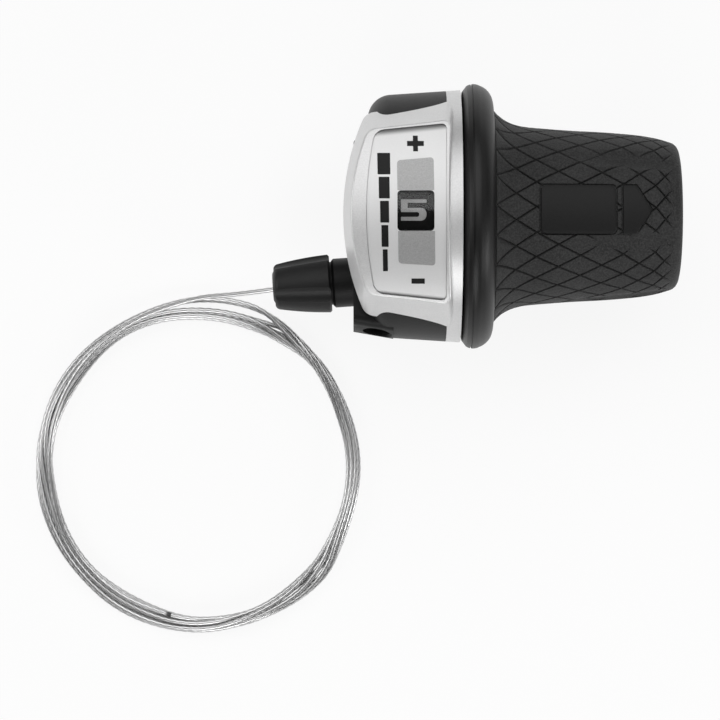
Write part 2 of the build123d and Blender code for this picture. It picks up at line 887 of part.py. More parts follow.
# Helical groove of the cam: left-handed, so that a twist of the grip draws the follower outboard
groove_radius = follower_radius + follower_clearance
groove_height = carriage_travel + 2 * groove_overrun
groove_start_angle = carriage_angle + groove_overrun / cam_lead * 360.0
groove_frame = Plane(
    origin=(follower_x - groove_overrun, 0, 0),
    x_dir=(0, cos(radians(groove_start_angle)), sin(radians(groove_start_angle))),
    z_dir=(1, 0, 0),
)
groove_line = groove_frame.location * Helix(cam_lead, groove_height, cam_radius, lefthand=True)
with BuildPart() as cam_groove:
    with BuildSketch(Plane(origin=groove_line @ 0, z_dir=groove_line % 0)):
        Circle(groove_radius)
    sweep(path=groove_line, is_frenet=True)
    for end in (0, 1):
        with Locations(groove_line @ end):
            Sphere(groove_radius)

# Grip core: tube, cam and collar in one moulding
collar_rise = (collar_peak_x - collar_lead_in[0], collar_peak_radius - collar_lead_in[1])
collar_drop = (collar_peak_x + collar_crest[0], collar_peak_radius - collar_crest[1])
with BuildPart() as grip_core:
    with BuildSketch(Plane.XY) as core_outline:
        with BuildLine():
            Polyline(
                (collar_end_x, collar_end_radius),
                (collar_end_x, core_radius),
                (core_end_x, core_radius),
                (core_end_x, core_bore_radius),
                (cam_start_x, core_bore_radius),
                (cam_start_x, cam_radius),
                (web_x, cam_radius),
                (web_x, collar_rim_radius),
                (collar_start_x, collar_rim_radius),
                (collar_start_x, collar_left_radius),
                collar_rise,
            )
            ThreePointArc(collar_rise, (collar_peak_x, collar_peak_radius), collar_drop)
            ThreePointArc(
                collar_drop,
                (collar_end_x - collar_fall[0], collar_peak_radius - collar_fall[1]),
                (collar_end_x, collar_end_radius),
            )
        make_face()
    revolve(axis=Axis.X)
    with BuildSketch(Plane.XY):
        with BuildLine():
            Polyline(
                (collar_peak_x - collar_groove_width / 2, collar_peak_radius - collar_groove_depth),
                (collar_peak_x + collar_groove_width / 2, collar_peak_radius - collar_groove_depth),
                (collar_peak_x + collar_groove_width / 2, collar_peak_radius + overrun),
                (collar_peak_x - collar_groove_width / 2, collar_peak_radius + overrun),
                close=True,
            )
        make_face()
    revolve(axis=Axis.X, mode=Mode.SUBTRACT)
    add(cam_groove.part, mode=Mode.SUBTRACT)
    for step in range(click_count + 1):
        with BuildSketch(
            radial_section(detent_x - detent_side_gap, detent_angle - step * click_angle)
        ):
            with Locations((0, detent_notch_centre)):
                Circle(detent_notch_radius)
        extrude(amount=detent_width + 2 * detent_side_gap, mode=Mode.SUBTRACT)
grip_core.part.label = "grip_core"
export_step(grip_core.part, "parts/grip_core.step")


def rubber_edges(raise_by):
    """Outline of the rubber's outer surface, raised by a height, down to the bar axis."""
    stations = [(x, r + raise_by) for x, r in rubber_stations]
    start = (collar_end_x, rubber_start_radius + raise_by)
    Spline(start, *stations)
    ThreePointArc(
        stations[-1],
        (
            grip_end_x - rubber_tip_bulge[0],
            (stations[-1][1] + rubber_tip_radius) / 2 + rubber_tip_bulge[1],
        ),
        (grip_end_x, rubber_tip_radius),
    )
    Polyline((grip_end_x, rubber_tip_radius), (grip_end_x, 0), (collar_end_x, 0), start)


# Bare panel and arrow raised on the rubber
with BuildPart() as grip_pad:
    with BuildSketch(Plane.XY):
        with BuildLine():
            rubber_edges(pad_height)
        make_face()
    revolve(axis=Axis.X)
    with BuildSketch(radial_drill(pad_middle_x, pad_angle, core_radius)):
        RectangleRounded(pad_length, pad_width, pad_corner)
        with BuildLine():
            Polyline(
                (arrow_from_x - pad_middle_x, -pad_width / 2),
                (arrow_shoulder_x - pad_middle_x, -pad_width / 2),
                (arrow_tip_x - pad_middle_x, 0),
                (arrow_shoulder_x - pad_middle_x, pad_width / 2),
                (arrow_from_x - pad_middle_x, pad_width / 2),
                close=True,
            )
        make_face()
    extrude(amount=cut_height, mode=Mode.INTERSECT)

# Rubber sleeve: flared, with shallow flutes between its lobes and a lip round the bar
with BuildPart() as grip_rubber:
    with BuildSketch(Plane.XY):
        with BuildLine():
            rubber_edges(0)
        make_face()
    revolve(axis=Axis.X)
    for turn in range(flute_count):
        angle = flute_first_angle + turn * 360.0 / flute_count
        flute_run = (flute_outboard[0] - flute_inboard[0], flute_outboard[1] - flute_inboard[1])
        y, z = on_bar(angle, flute_inboard[1] + flute_radius)
        dy, dz = on_bar(angle, flute_run[1])
        with BuildSketch(Plane(origin=(flute_inboard[0], y, z), z_dir=(flute_run[0], dy, dz))):
            Circle(flute_radius)
        extrude(amount=flute_run[0] + flute_overrun, mode=Mode.SUBTRACT)
    add(grip_pad.part)
    with BuildSketch(Plane.XY):
        with BuildLine():
            Polyline(
                (collar_end_x - overrun, 0),
                (collar_end_x - overrun, core_radius),
                (rubber_lip_x, core_radius),
                (rubber_lip_x, rubber_lip_radius),
                (grip_end_x + overrun, rubber_lip_radius),
                (grip_end_x + overrun, 0),
                close=True,
            )
        make_face()
    revolve(axis=Axis.X, mode=Mode.SUBTRACT)
grip_rubber.part.label = "grip_rubber"
export_step(grip_rubber.part, "parts/grip_rubber.step")

# Number ring: a sector held in the collar's rim, under the window at every click
number_from_angle = 90.0 - twist_range - number_margin_angle
number_sweep = twist_range + 2 * number_margin_angle
with BuildPart() as number_ring:
    with BuildSketch(lengthwise_section(number_from_angle)):
        with BuildLine():
            Polyline(
                (number_ring_x, collar_rim_radius - number_ring_wall),
                (web_x, collar_rim_radius - number_ring_wall),
                (web_x, collar_rim_radius),
                (number_ring_x, collar_rim_radius),
                close=True,
            )
        make_face()
    revolve(axis=Axis.X, revolution_arc=number_sweep)
number_ring.part.label = "number_ring"
export_step(number_ring.part, "parts/number_ring.step")

# Cable carriage: a block with an open seat for the wire's head
carriage_height = carriage_top_radius - carriage_bottom_radius
nipple_x = carriage_x + nipple_offset_x
with BuildPart() as cable_carriage:
    with BuildSketch(radial_section(carriage_x, carriage_angle)):
        with Locations((0, (carriage_bottom_radius + carriage_top_radius) / 2)):
            RectangleRounded(carriage_width, carriage_height, carriage_corner)
    extrude(amount=carriage_length)
    with BuildSketch(radial_section(nipple_x - nipple_clearance, carriage_angle)):
        with Locations((0, carriage_radius)):
            Circle(nipple_radius + nipple_clearance)
        with Locations((0, carriage_radius + nipple_radius)):
            Rectangle(2 * (nipple_radius + nipple_clearance), 2 * nipple_radius)
    extrude(amount=nipple_length + 2 * nipple_clearance, mode=Mode.SUBTRACT)
    with BuildSketch(radial_section(carriage_x - overrun, carriage_angle)):
        with Locations((0, carriage_radius)):
            Circle(wire_diameter / 2 + wire_slot_clearance)
        with Locations((0, carriage_radius + nipple_radius)):
            Rectangle(wire_diameter + 2 * wire_slot_clearance, 2 * nipple_radius)
    extrude(amount=overrun + nipple_offset_x, mode=Mode.SUBTRACT)
    with BuildSketch(radial_drill(follower_x, carriage_angle, carriage_bottom_radius - overrun)):
        Circle(follower_radius)
    extrude(amount=follower_top_radius - carriage_bottom_radius + overrun, mode=Mode.SUBTRACT)
cable_carriage.part.label = "cable_carriage"
export_step(cable_carriage.part, "parts/cable_carriage.step")

follower_y, follower_z = on_bar(carriage_angle, cam_radius)
with BuildPart() as follower_pin:
    with Locations((follower_x, follower_y, follower_z)):
        Sphere(follower_radius)
    with BuildSketch(radial_drill(follower_x, carriage_angle, cam_radius)):
        Circle(follower_radius)
    extrude(amount=follower_top_radius - cam_radius)
follower_pin.part.label = "follower_pin"
export_step(follower_pin.part, "parts/follower_pin.step")

with BuildPart() as wire_head:
    with BuildSketch(radial_section(nipple_x, carriage_angle)):
        with Locations((0, carriage_radius)):
            Circle(nipple_radius)
    extrude(amount=nipple_length)
    with BuildSketch(radial_section(wire_meets_x, carriage_angle)):
        with Locations((0, carriage_radius)):
            Circle(wire_diameter / 2)
    extrude(amount=nipple_x - wire_meets_x)
wire_head.part.label = "wire_head"
export_step(wire_head.part, "parts/wire_head.step")

# Adjuster barrel: thread, hexagon, head with the casing seat
with BuildPart() as adjuster_barrel:
    with BuildSketch(along_adjuster(barrel_start)):
        Circle(barrel_thread_radius)
    extrude(amount=barrel_hex_start - barrel_start)
    with BuildSketch(along_adjuster(barrel_hex_start)):
        RegularPolygon(barrel_hex_flats / 2, 6, major_radius=False)
    extrude(amount=barrel_head_start - barrel_hex_start)
    with BuildSketch(along_adjuster(barrel_head_start)):
        Circle(barrel_head_radius)
    extrude(amount=barrel_end - barrel_head_start)
    chamfer(
        adjuster_barrel.edges().filter_by(GeomType.CIRCLE).sort_by(adjuster_axis)[-1],
        length=barrel_end_chamfer[0],
        length2=barrel_end_chamfer[1],
    )
    with BuildSketch(along_adjuster(barrel_start)):
        Circle(barrel_wire_radius)
    extrude(amount=barrel_end - barrel_start, mode=Mode.SUBTRACT)
    with BuildSketch(along_adjuster(barrel_end)):
        Circle(casing_seat_radius)
    extrude(amount=-casing_seat_depth, mode=Mode.SUBTRACT)
adjuster_barrel.part.label = "adjuster_barrel"
export_step(adjuster_barrel.part, "parts/adjuster_barrel.step")

# Adjuster knob: tapered, fluted, driving the hexagon
with BuildPart() as adjuster_knob:
    with BuildSketch(adjuster_profile()):
        with BuildLine():
            Polyline(
                (knob_end, knob_mouth_radius + knob_lip),
                (knob_end, 0),
                (knob_start, 0),
                (knob_start, knob_radius - knob_edge),
                (knob_start + knob_edge, knob_radius),
            )
            ThreePointArc(
                (knob_start + knob_edge, knob_radius),
                (
                    (knob_start + knob_edge + knob_end - knob_tip_length) / 2,
                    (knob_radius + knob_tip_radius) / 2 + knob_side_bulge,
                ),
                (knob_end - knob_tip_length, knob_tip_radius),
            )
            ThreePointArc(
                (knob_end - knob_tip_length, knob_tip_radius),
                (knob_end - knob_tip_bulge[0], knob_tip_radius - knob_tip_bulge[1]),
                (knob_end, knob_mouth_radius + knob_lip),
            )
        make_face()
    revolve(axis=adjuster_axis)
    for turn in range(knob_flutes):
        flute_angle = radians(knob_flute_from + turn * 360.0 / knob_flutes)
        axis_plane = along_adjuster(knob_start - overrun)
        low = knob_radius + knob_flute_radius - knob_flute_depth
        high = knob_tip_radius + knob_flute_radius - knob_flute_depth
        foot = axis_plane.from_local_coords((low * cos(flute_angle), low * sin(flute_angle), 0))
        head = axis_plane.from_local_coords(
            (high * cos(flute_angle), high * sin(flute_angle), knob_end - knob_start)
        )
        with BuildSketch(Plane(origin=foot, z_dir=head - foot)):
            Circle(knob_flute_radius)
        extrude(amount=knob_end - knob_start + 2 * overrun, mode=Mode.SUBTRACT)
    with BuildSketch(along_adjuster(knob_start)):
        RegularPolygon(barrel_hex_flats / 2 + barrel_hex_clearance, 6, major_radius=False)
    extrude(amount=knob_end - knob_start, mode=Mode.SUBTRACT)
    with BuildSketch(along_adjuster(knob_start)):
        Circle(neck_radius + neck_clearance)
    extrude(amount=boss_length + neck_length + neck_clearance - knob_start, mode=Mode.SUBTRACT)
    with BuildSketch(along_adjuster(knob_floor)):
        Circle(knob_mouth_radius)
    extrude(amount=knob_end - knob_floor, mode=Mode.SUBTRACT)
adjuster_knob.part.label = "adjuster_knob"
export_step(adjuster_knob.part, "parts/adjuster_knob.step")

# Spring between the knob's floor and the barrel's head
spring_from = knob_floor + spring_wire / 2 + spring_end_gap
spring_height = barrel_head_start - knob_floor - spring_wire - 2 * spring_end_gap
spring_line = along_adjuster(spring_from).location * Helix(
    spring_height / spring_turns, spring_height, spring_mean_radius
)
with BuildPart() as adjuster_spring:
    with BuildSketch(Plane(origin=spring_line @ 0, z_dir=spring_line % 0)):
        Circle(spring_wire / 2)
    sweep(path=spring_line, is_frenet=True)
adjuster_spring.part.label = "adjuster_spring"
export_step(adjuster_spring.part, "parts/adjuster_spring.step")


def on_coil(angle, radius, z):
    """Point above the coil, by angle about its centre."""
    return (
        coil_centre[0] + radius * cos(radians(angle)),
        coil_centre[1] + radius * sin(radians(angle)),
        z,
    )


# Lead of the wire: out through the adjuster, then down along the first half turn onto the coil
lead_points = [
    (wire_meets_x - 4 * seat_clearance, adjuster_y, adjuster_z),
    *lead_run,
    *[on_coil(*point) for point in lead_on_coil],
]
lead_radii = []
for before, here, after in zip(lead_points, lead_points[1:], lead_points[2:]):
    run_in = Vector(here) - Vector(before)
    run_out = Vector(after) - Vector(here)
    half_turn = radians(run_in.get_angle(run_out)) / 2
    lead_radii.append(lead_bend_share * min(run_in.length, run_out.length) / tan(half_turn))
lead_line = FilletPolyline(*lead_points, radius=lead_radii)
print("lead bend radii, mm:", [round(r, 1) for r in lead_radii])
with BuildPart() as wire_lead:
    with BuildSketch(Plane(origin=lead_line @ 0, z_dir=lead_line % 0)):
        Circle(wire_diameter / 2)
    sweep(path=lead_line)
wire_lead.part.label = "wire_lead"
export_step(wire_lead.part, "parts/wire_lead.step")
print(
    "lead volume over section times length:",
    round(wire_lead.part.volume / (pi * wire_diameter**2 / 4 * lead_line.length), 4),
)

# Outer shape of the coil of wire on the floor
with BuildPart() as wire_coil:
    with Locations((coil_centre[0], coil_centre[1], coil_z)):
        Torus(coil_radius, coil_section_radius)
wire_coil.part.label = "wire_coil"
export_step(wire_coil.part, "parts/wire_coil.step")
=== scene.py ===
# %% [markdown]
# # A twist grip gear shifter, dressed for a picture
# The real thing clamps on a handlebar. A rubber sleeve is twisted to change gear,
# a number shows in a window, and a steel wire leaves through an adjuster and lies in a coil.
# The measured model is loaded as a fixed frame, and everything here is built around it,
# in metres and in the same place.

# %% Load the frame
from math import copysign, cos, hypot, pi, radians, sin, sqrt

import bpy
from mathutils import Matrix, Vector


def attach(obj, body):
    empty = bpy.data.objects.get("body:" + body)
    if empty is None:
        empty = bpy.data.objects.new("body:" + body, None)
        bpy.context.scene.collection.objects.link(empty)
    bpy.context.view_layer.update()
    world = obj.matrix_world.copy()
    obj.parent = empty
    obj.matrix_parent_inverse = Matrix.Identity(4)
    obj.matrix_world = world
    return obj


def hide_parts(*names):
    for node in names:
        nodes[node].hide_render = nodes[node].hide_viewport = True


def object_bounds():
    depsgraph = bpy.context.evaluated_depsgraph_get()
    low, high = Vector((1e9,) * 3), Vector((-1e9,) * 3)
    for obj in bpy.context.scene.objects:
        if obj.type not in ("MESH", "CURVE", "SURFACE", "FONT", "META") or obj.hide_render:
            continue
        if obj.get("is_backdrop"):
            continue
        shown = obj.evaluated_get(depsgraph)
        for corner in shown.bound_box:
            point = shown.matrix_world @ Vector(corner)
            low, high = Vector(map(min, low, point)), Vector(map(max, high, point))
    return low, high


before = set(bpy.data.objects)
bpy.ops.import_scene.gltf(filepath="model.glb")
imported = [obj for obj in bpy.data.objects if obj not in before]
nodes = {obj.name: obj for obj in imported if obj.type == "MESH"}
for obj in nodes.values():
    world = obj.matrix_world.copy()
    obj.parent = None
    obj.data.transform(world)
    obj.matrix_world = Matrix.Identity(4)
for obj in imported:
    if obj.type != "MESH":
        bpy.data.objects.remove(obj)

cad_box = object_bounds()
mm = 0.001

# %% [markdown]
# ## Camera
# The picture was taken from straight above with a long lens, so the bar runs level
# across it. A camera with no turn looks down and has +Y at the top of the picture.

# %% Camera
camera_height = 0.743
picture_middle = (0.001365, -0.030135)
picture_pixels = 720
millimetres_per_pixel = 0.21
sensor_width = 36.0
bpy.ops.object.camera_add(location=(*picture_middle, camera_height), rotation=(0, 0, 0))
camera = bpy.context.object
camera.data.sensor_width = sensor_width
camera.data.lens = sensor_width * camera_height / (picture_pixels * millimetres_per_pixel * mm)
camera.data.clip_end = 10.0
bpy.context.scene.camera = camera
bpy.context.scene.view_settings.view_transform = "Standard"
print("lens, mm:", round(camera.data.lens, 1))

# %% [markdown]
# ## The wire's lead
# The inner wire is 1.1 mm of stranded steel. It leaves the adjuster, drops towards the floor and goes
# over into a hand-wound coil. Its route is one smooth spline. The points of this first stretch are listed
# one by one: some by their own coordinates, the rest by angle, distance and height about the coil's
# middle.

# %% Lead
floor_z = -27.7
adjuster_z = -14.489
coil_x, coil_y, coil_radius = -33.3, -52.9, 34.05
lead_points = [
    (3.2, -13.2, adjuster_z),
    (-10.5, -14.1, adjuster_z),
    (-17.6, -15.1, adjuster_z - 0.26),
    (-25.6, -16.1, adjuster_z - 1.5),
]
lead_on_coil = [
    (92.0, 2.15, 10.1),
    (118.0, 0.85, 8.1),
    (146.0, 0.1, 6.4),
    (174.0, -0.5, 5.1),
    (202.0, -1.1, 4.1),
]


def on_coil(angle, outward, height):
    """A point by angle about the coil, distance out from its mean radius and height, in mm."""
    radius = coil_radius + outward
    return (
        coil_x + radius * cos(radians(angle)),
        coil_y + radius * sin(radians(angle)),
        floor_z + height,
    )


route = lead_points + [on_coil(*point) for point in lead_on_coil]
print("points of the lead:", len(route))

# %% [markdown]
# ## The coil's bundle
# The turns of a hand-wound coil roll round each other like the strands of a rope. So each turn's place
# in the bundle is an angle, one seventh of a circle on from the turn before, and seven turns fill
# the bundle without running into each other. At four places round the coil the bundle rolls over,
# and there its turns cross. It is wider where the turns lie loose and narrower where they are held
# together: a table gives, for angles round the coil, how far out its middle lies and its half width.

# %% Places in the bundle
wire_diameter = 1.1
turns_in_bundle = 7
winding_from, winding_to = 202.0, 259.0 + 360.0 * turns_in_bundle
bundle_radius = wire_diameter / 2 / sin(pi / turns_in_bundle)
bundle_stations = (
    (0, -0.8, 1.15), (24, -1.2, 1.15), (40, -0.6, 0.75), (56, -0.8, 1.35), (72, -0.85, 1.6),
    (88, -0.75, 1.5), (106, -0.3, 1.3), (120, -0.2, 1.05), (146, -0.25, 1.7), (168, 0.0, 1.25),
    (190, -0.25, 1.6), (224, 0.0, 1.35), (242, 0.15, 1.9), (272, 0.75, 1.2), (290, 0.65, 1.0),
    (318, 0.5, 1.9), (338, -0.8, 1.0), (360, -0.8, 1.15),
)
crossings = ((20, 52, -180), (158, 38, 90), (262, 38, 90), (305, 38, 90))
first_roll = 243.9
roll_each_turn = 360 / turns_in_bundle - sum(roll for start, width, roll in crossings)


def ease(value, low, high):
    """From 0 at low to 1 at high, with soft ends."""
    share = min(max((value - low) / (high - low), 0.0), 1.0)
    return share * share * (3 - 2 * share)


def bundle_at(angle):
    """How far out the bundle's middle lies and its half width, at an angle round the coil, in mm."""
    angle = angle % 360
    for (low, out_a, width_a), (high, out_b, width_b) in zip(bundle_stations, bundle_stations[1:]):
        if angle <= high:
            share = ease(angle, low, high)
            return out_a + (out_b - out_a) * share, width_a + (width_b - width_a) * share


def bundle_roll(angle):
    """How far the bundle has rolled by an angle along the winding, in degrees."""
    rolled = first_roll + roll_each_turn * (angle - winding_from) / 360
    for start, width, roll in crossings:
        past = angle - start
        rolled += roll * (past // 360 + ease(past % 360, 0, width))
    return rolled


print("bundle radius, mm:", round(bundle_radius, 2), "roll each turn:", round(roll_each_turn, 1))

# %% [markdown]
# ## Winding the coil
# Thirty points make a turn. At the top of the picture the outermost turns spring out and leave a gap
# to the rest. The first turn starts a little higher, because the lead comes down to it,
# and the tail ends on top of the bundle, near its inner side.
# The spline runs inside its control points, so they lie a little further out than the wire does.

# %% Points of the coil
winding_steps = 215
most_half_height = 1.7
waver, waver_pace = 0.12, 2.3
spring_starts, spring_ends, spring_places = (46, 68), (84, 112), (0.35, 0.8)
spring_out, spring_fan = 1.45, 0.3
first_lift, lift_angle = 1.0, 120
tail_from, tail_full = winding_to - 95, winding_to - 35
tail_out, tail_up = -1.1, 3.1
step_angle = (winding_to - winding_from) / winding_steps
further_out = coil_radius / cos(radians(step_angle / 2)) - coil_radius
for step in range(1, winding_steps + 1):
    angle = winding_from + step * step_angle
    place = radians(bundle_roll(angle))
    middle, half_width = bundle_at(angle)
    half_height = min(bundle_radius**2 / half_width, most_half_height)
    out = middle + half_width * cos(place) + waver * sin(radians(waver_pace * angle))
    up = wire_diameter / 2 + half_height * (1 + sin(place))
    sprung = ease(angle % 360, *spring_starts) - ease(angle % 360, *spring_ends)
    sprung *= ease(cos(place), *spring_places)
    out += sprung * (spring_out + spring_fan * sin(place))
    up += first_lift * (1 - ease(angle, winding_from, winding_from + lift_angle))
    tail = ease(angle, tail_from, tail_full)
    out += tail * (tail_out - out)
    up += tail * (tail_up - up)
    route.append(on_coil(angle, out + further_out, up))
print("control points:", len(route))

# %% [markdown]
# ## One smooth line
# The route's points steer a NURBS curve. The order is set after the points are there, because set before
# it would fall back to straight runs. The curve has no thickness: read as a mesh, it gives
# the points that the wire follows.

# %% Spline
wire_line = bpy.data.curves.new("wire_line", "CURVE")
wire_line.dimensions = "3D"
wire_line.resolution_u = 28
spline = wire_line.splines.new("NURBS")
spline.points.add(len(route) - 1)
for point, place in zip(spline.points, route):
    point.co = (*(Vector(place) * mm), 1.0)
spline.order_u = 3
spline.use_endpoint_u = True
line_object = bpy.data.objects.new("wire_line", wire_line)
bpy.context.scene.collection.objects.link(line_object)
bpy.context.view_layer.update()
line_mesh = bpy.data.meshes.new_from_object(
    line_object.evaluated_get(bpy.context.evaluated_depsgraph_get())
)
wire_path = [vertex.co.copy() for vertex in line_mesh.vertices]
bpy.data.objects.remove(line_object)
bpy.data.meshes.remove(line_mesh)
wire_length = sum((b - a).length for a, b in zip(wire_path, wire_path[1:]))
print("wire points:", len(wire_path), "length, m:", round(wire_length, 4))

# %% [markdown]
# ## The wire itself
# Six strands twist round a core, so the section has six lobes that turn as they go along.
# A tube of twelve points a ring, high and low by turns, shows the strands as real shape.
# The frame that carries the ring is turned from one point to the next by the least angle,
# so the only twist in the tube is the strands' own. A map on it runs round and along the wire,
# and every point between two strands is marked, where shade is painted darker.
# The last rings are drawn in, where the strands were fused before the wire was cut.

# %% Rings of the wire
strand_lay = 11.0 * mm
lobe_height = 0.085
ring_points = 12
wire_radius = wire_diameter / 2 * mm
fused_rings, fused_size = 3, 0.86
last = len(wire_path) - 1
verts, wire_map, between = [], [], []
tangent = (wire_path[1] - wire_path[0]).normalized()
side = tangent.cross(Vector((0, 0, 1))).normalized()
travelled = 0.0
for index, here in enumerate(wire_path):
    if index:
        travelled += (here - wire_path[index - 1]).length
        ahead = (wire_path[min(index + 1, last)] - wire_path[index - 1]).normalized()
        side = tangent.rotation_difference(ahead) @ side
        tangent = ahead
    above = tangent.cross(side)
    twist = 2 * pi * travelled / strand_lay
    size = fused_size if index > last - fused_rings else 1.0
    for corner in range(ring_points):
        around = twist + 2 * pi * corner / ring_points
        radius = wire_radius * size * (1.0 if corner % 2 == 0 else 1 - 2 * lobe_height)
        verts.append(here + side * (radius * cos(around)) + above * (radius * sin(around)))
        wire_map.append((corner / ring_points, travelled))
        between.append(corner % 2)
print("rings:", last + 1, "points:", len(verts))

# %% Tube of the wire
faces = []
for index in range(last):
    low, high = index * ring_points, (index + 1) * ring_points
    for corner in range(ring_points):
        after = (corner + 1) % ring_points
        faces.append((low + corner, low + after, high + after, high + corner))
faces.append(tuple(reversed(range(ring_points))))
faces.append(tuple(range(last * ring_points, (last + 1) * ring_points)))
wire_mesh = bpy.data.meshes.new("inner_wire")
wire_mesh.from_pydata(verts, [], faces)
wire_uv = wire_mesh.uv_layers.new(name="along")
for loop in wire_mesh.loops:
    wire_uv.data[loop.index].uv = wire_map[loop.vertex_index]
wire_mesh.attributes.new("between_strands", "FLOAT", "POINT").data.foreach_set("value", between)
wire_mesh.shade_smooth()
inner_wire = bpy.data.objects.new("inner_wire", wire_mesh)
bpy.context.scene.collection.objects.link(inner_wire)
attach(inner_wire, "housing")
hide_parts("wire_lead", "wire_coil")
print("wire faces:", len(wire_mesh.polygons))

# %% [markdown]
# ## Working by hand
# An operator works on whatever is selected, and loading left the frame's pieces selected.
# So every new piece starts by clearing the selection. Corners, edges and faces are then picked
# by a test, such as where they are. Flags set in object mode count once edit mode is entered again.

# %% Helpers for modelling
def start_clean():
    """Nothing selected, nothing in edit mode."""
    if bpy.context.mode != "OBJECT":
        bpy.ops.object.mode_set(mode="OBJECT")
    bpy.ops.object.select_all(action="DESELECT")


def work_on(piece):
    """Only this piece selected and active."""
    start_clean()
    piece.select_set(True)
    bpy.context.view_layer.objects.active = piece


def edit_all(piece):
    """Edit mode on this piece with all of it selected."""
    work_on(piece)
    bpy.ops.object.mode_set(mode="EDIT")
    bpy.ops.mesh.select_all(action="SELECT")


def edit_some(piece, kind, wanted):
    """Edit mode with only the corners, edges or faces selected that the test accepts."""
    work_on(piece)
    bpy.ops.object.mode_set(mode="EDIT")
    bpy.ops.mesh.select_mode(type=kind)
    bpy.ops.mesh.select_all(action="DESELECT")
    bpy.ops.object.mode_set(mode="OBJECT")
    mesh = piece.data
    for part in {"VERT": mesh.vertices, "EDGE": mesh.edges, "FACE": mesh.polygons}[kind]:
        part.select = wanted(part)
    bpy.ops.object.mode_set(mode="EDIT")


def apply_modifier(piece, kind, **settings):
    """Adds a modifier, sets it and applies it."""
    work_on(piece)
    modifier = piece.modifiers.new(kind.lower(), kind)
    for name, value in settings.items():
        setattr(modifier, name, value)
    bpy.ops.object.modifier_apply(modifier=modifier.name)


def finish_piece(piece, body, smooth_angle=35):
    """Smooth shading up to an angle, and the body that the piece goes with."""
    work_on(piece)
    bpy.ops.object.shade_smooth_by_angle(angle=radians(smooth_angle))
    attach(piece, body)
    print(piece.name, "faces:", len(piece.data.polygons))


# %% [markdown]
# ## Block figures and marks
# The gear numbers and the plus and minus signs are printed in plain blocks. Each one starts
# as a grid of cells, loses the cells that its pattern leaves empty, and is joined into one outline.
# Its corners are rounded a little, and those of a cell marked o, where a stroke goes round a bend,
# a lot. Straight cuts across it let it follow a curved surface afterwards.

# %% Outline of a mark
def grid_lines(sizes):
    """Running sums of sizes, centred on nought."""
    sums = [0.0]
    for size in sizes:
        sums.append(sums[-1] + size)
    return [value - sums[-1] / 2 for value in sums]


def block_outline(name, pattern, widths, heights):
    """A flat outline from rows of cells in mm, top row first."""
    start_clean()
    columns, rows = len(widths), len(heights)
    bpy.ops.mesh.primitive_grid_add(x_subdivisions=columns, y_subdivisions=rows, size=2)
    mark = bpy.context.object
    mark.name = name
    empty = set()
    for face in mark.data.polygons:
        column = int((face.center.x + 1) / 2 * columns)
        row = rows - 1 - int((face.center.y + 1) / 2 * rows)
        if pattern[row][column] == ".":
            empty.add(face.index)
    edit_some(mark, "FACE", lambda face: face.index in empty)
    bpy.ops.mesh.delete(type="FACE")
    bpy.ops.object.mode_set(mode="OBJECT")
    across, upward = grid_lines(widths), grid_lines(heights[::-1])
    for vertex in mark.data.vertices:
        vertex.co.x = across[round((vertex.co.x + 1) / 2 * columns)] * mm
        vertex.co.y = upward[round((vertex.co.y + 1) / 2 * rows)] * mm
    edit_all(mark)
    bpy.ops.mesh.dissolve_limited(angle_limit=radians(1))
    bpy.ops.object.mode_set(mode="OBJECT")
    return mark


# %% Rounded corners and cuts
bend_outside, bend_inside = 1.15, 0.4
corner_segments = 5
cut_spacing = 0.7


def nearest(values, wanted):
    """Index of the value that comes nearest."""
    return min(range(len(values)), key=lambda index: abs(values[index] - wanted))


def cells_at(pattern, column, row):
    """The filled cells that meet at a corner of the grid, counted from its top left."""
    around = [(r, c) for r in (row - 1, row) for c in (column - 1, column)]
    inside = [(r, c) for r, c in around if 0 <= r < len(pattern) and 0 <= c < len(pattern[0])]
    return [pattern[r][c] for r, c in inside if pattern[r][c] != "."]


def block_mark(name, pattern, widths, heights, corner, rounded=lambda place: True):
    """A flat mark from rows of cells, with the chosen corners rounded and cuts across it."""
    mark = block_outline(name, pattern, widths, heights)
    across, upward = grid_lines(widths), grid_lines(heights[::-1])
    radii = {}
    for vertex in mark.data.vertices:
        column = nearest(across, vertex.co.x / mm)
        row = len(heights) - nearest(upward, vertex.co.y / mm)
        near = cells_at(pattern, column, row)
        if "o" in near:
            radii[tuple(vertex.co)] = bend_outside if len(near) == 1 else bend_inside
        elif rounded(vertex.co):
            radii[tuple(vertex.co)] = corner
    for radius in sorted(set(radii.values())):
        edit_some(mark, "VERT", lambda vertex: radii.get(tuple(vertex.co)) == radius)
        bpy.ops.mesh.bevel(offset=radius * mm, segments=corner_segments, affect="VERTICES")
    edit_all(mark)
    height = sum(heights)
    cuts = int(height / cut_spacing)
    for cut in range(1, cuts + 1):
        bpy.ops.mesh.select_all(action="SELECT")
        cut_y = (cut / (cuts + 1) - 0.5) * height
        bpy.ops.mesh.bisect(plane_co=(0, cut_y * mm, 0), plane_no=(0, 1, 0))
    bpy.ops.object.mode_set(mode="OBJECT")
    return mark


def thicken(piece, thickness):
    """Gives a sheet a thickness in mm, outwards along its normals."""
    apply_modifier(piece, "SOLIDIFY", thickness=thickness * mm, offset=1.0)


# %% [markdown]
# ## Gear numbers on the number ring
# The ring turns with the grip and carries the numbers 1 to 5, one click apart.
# Each flat figure is wrapped on the ring: its height becomes an angle about the bar.
# The top of a figure points away from the rider, which is towards smaller angles.

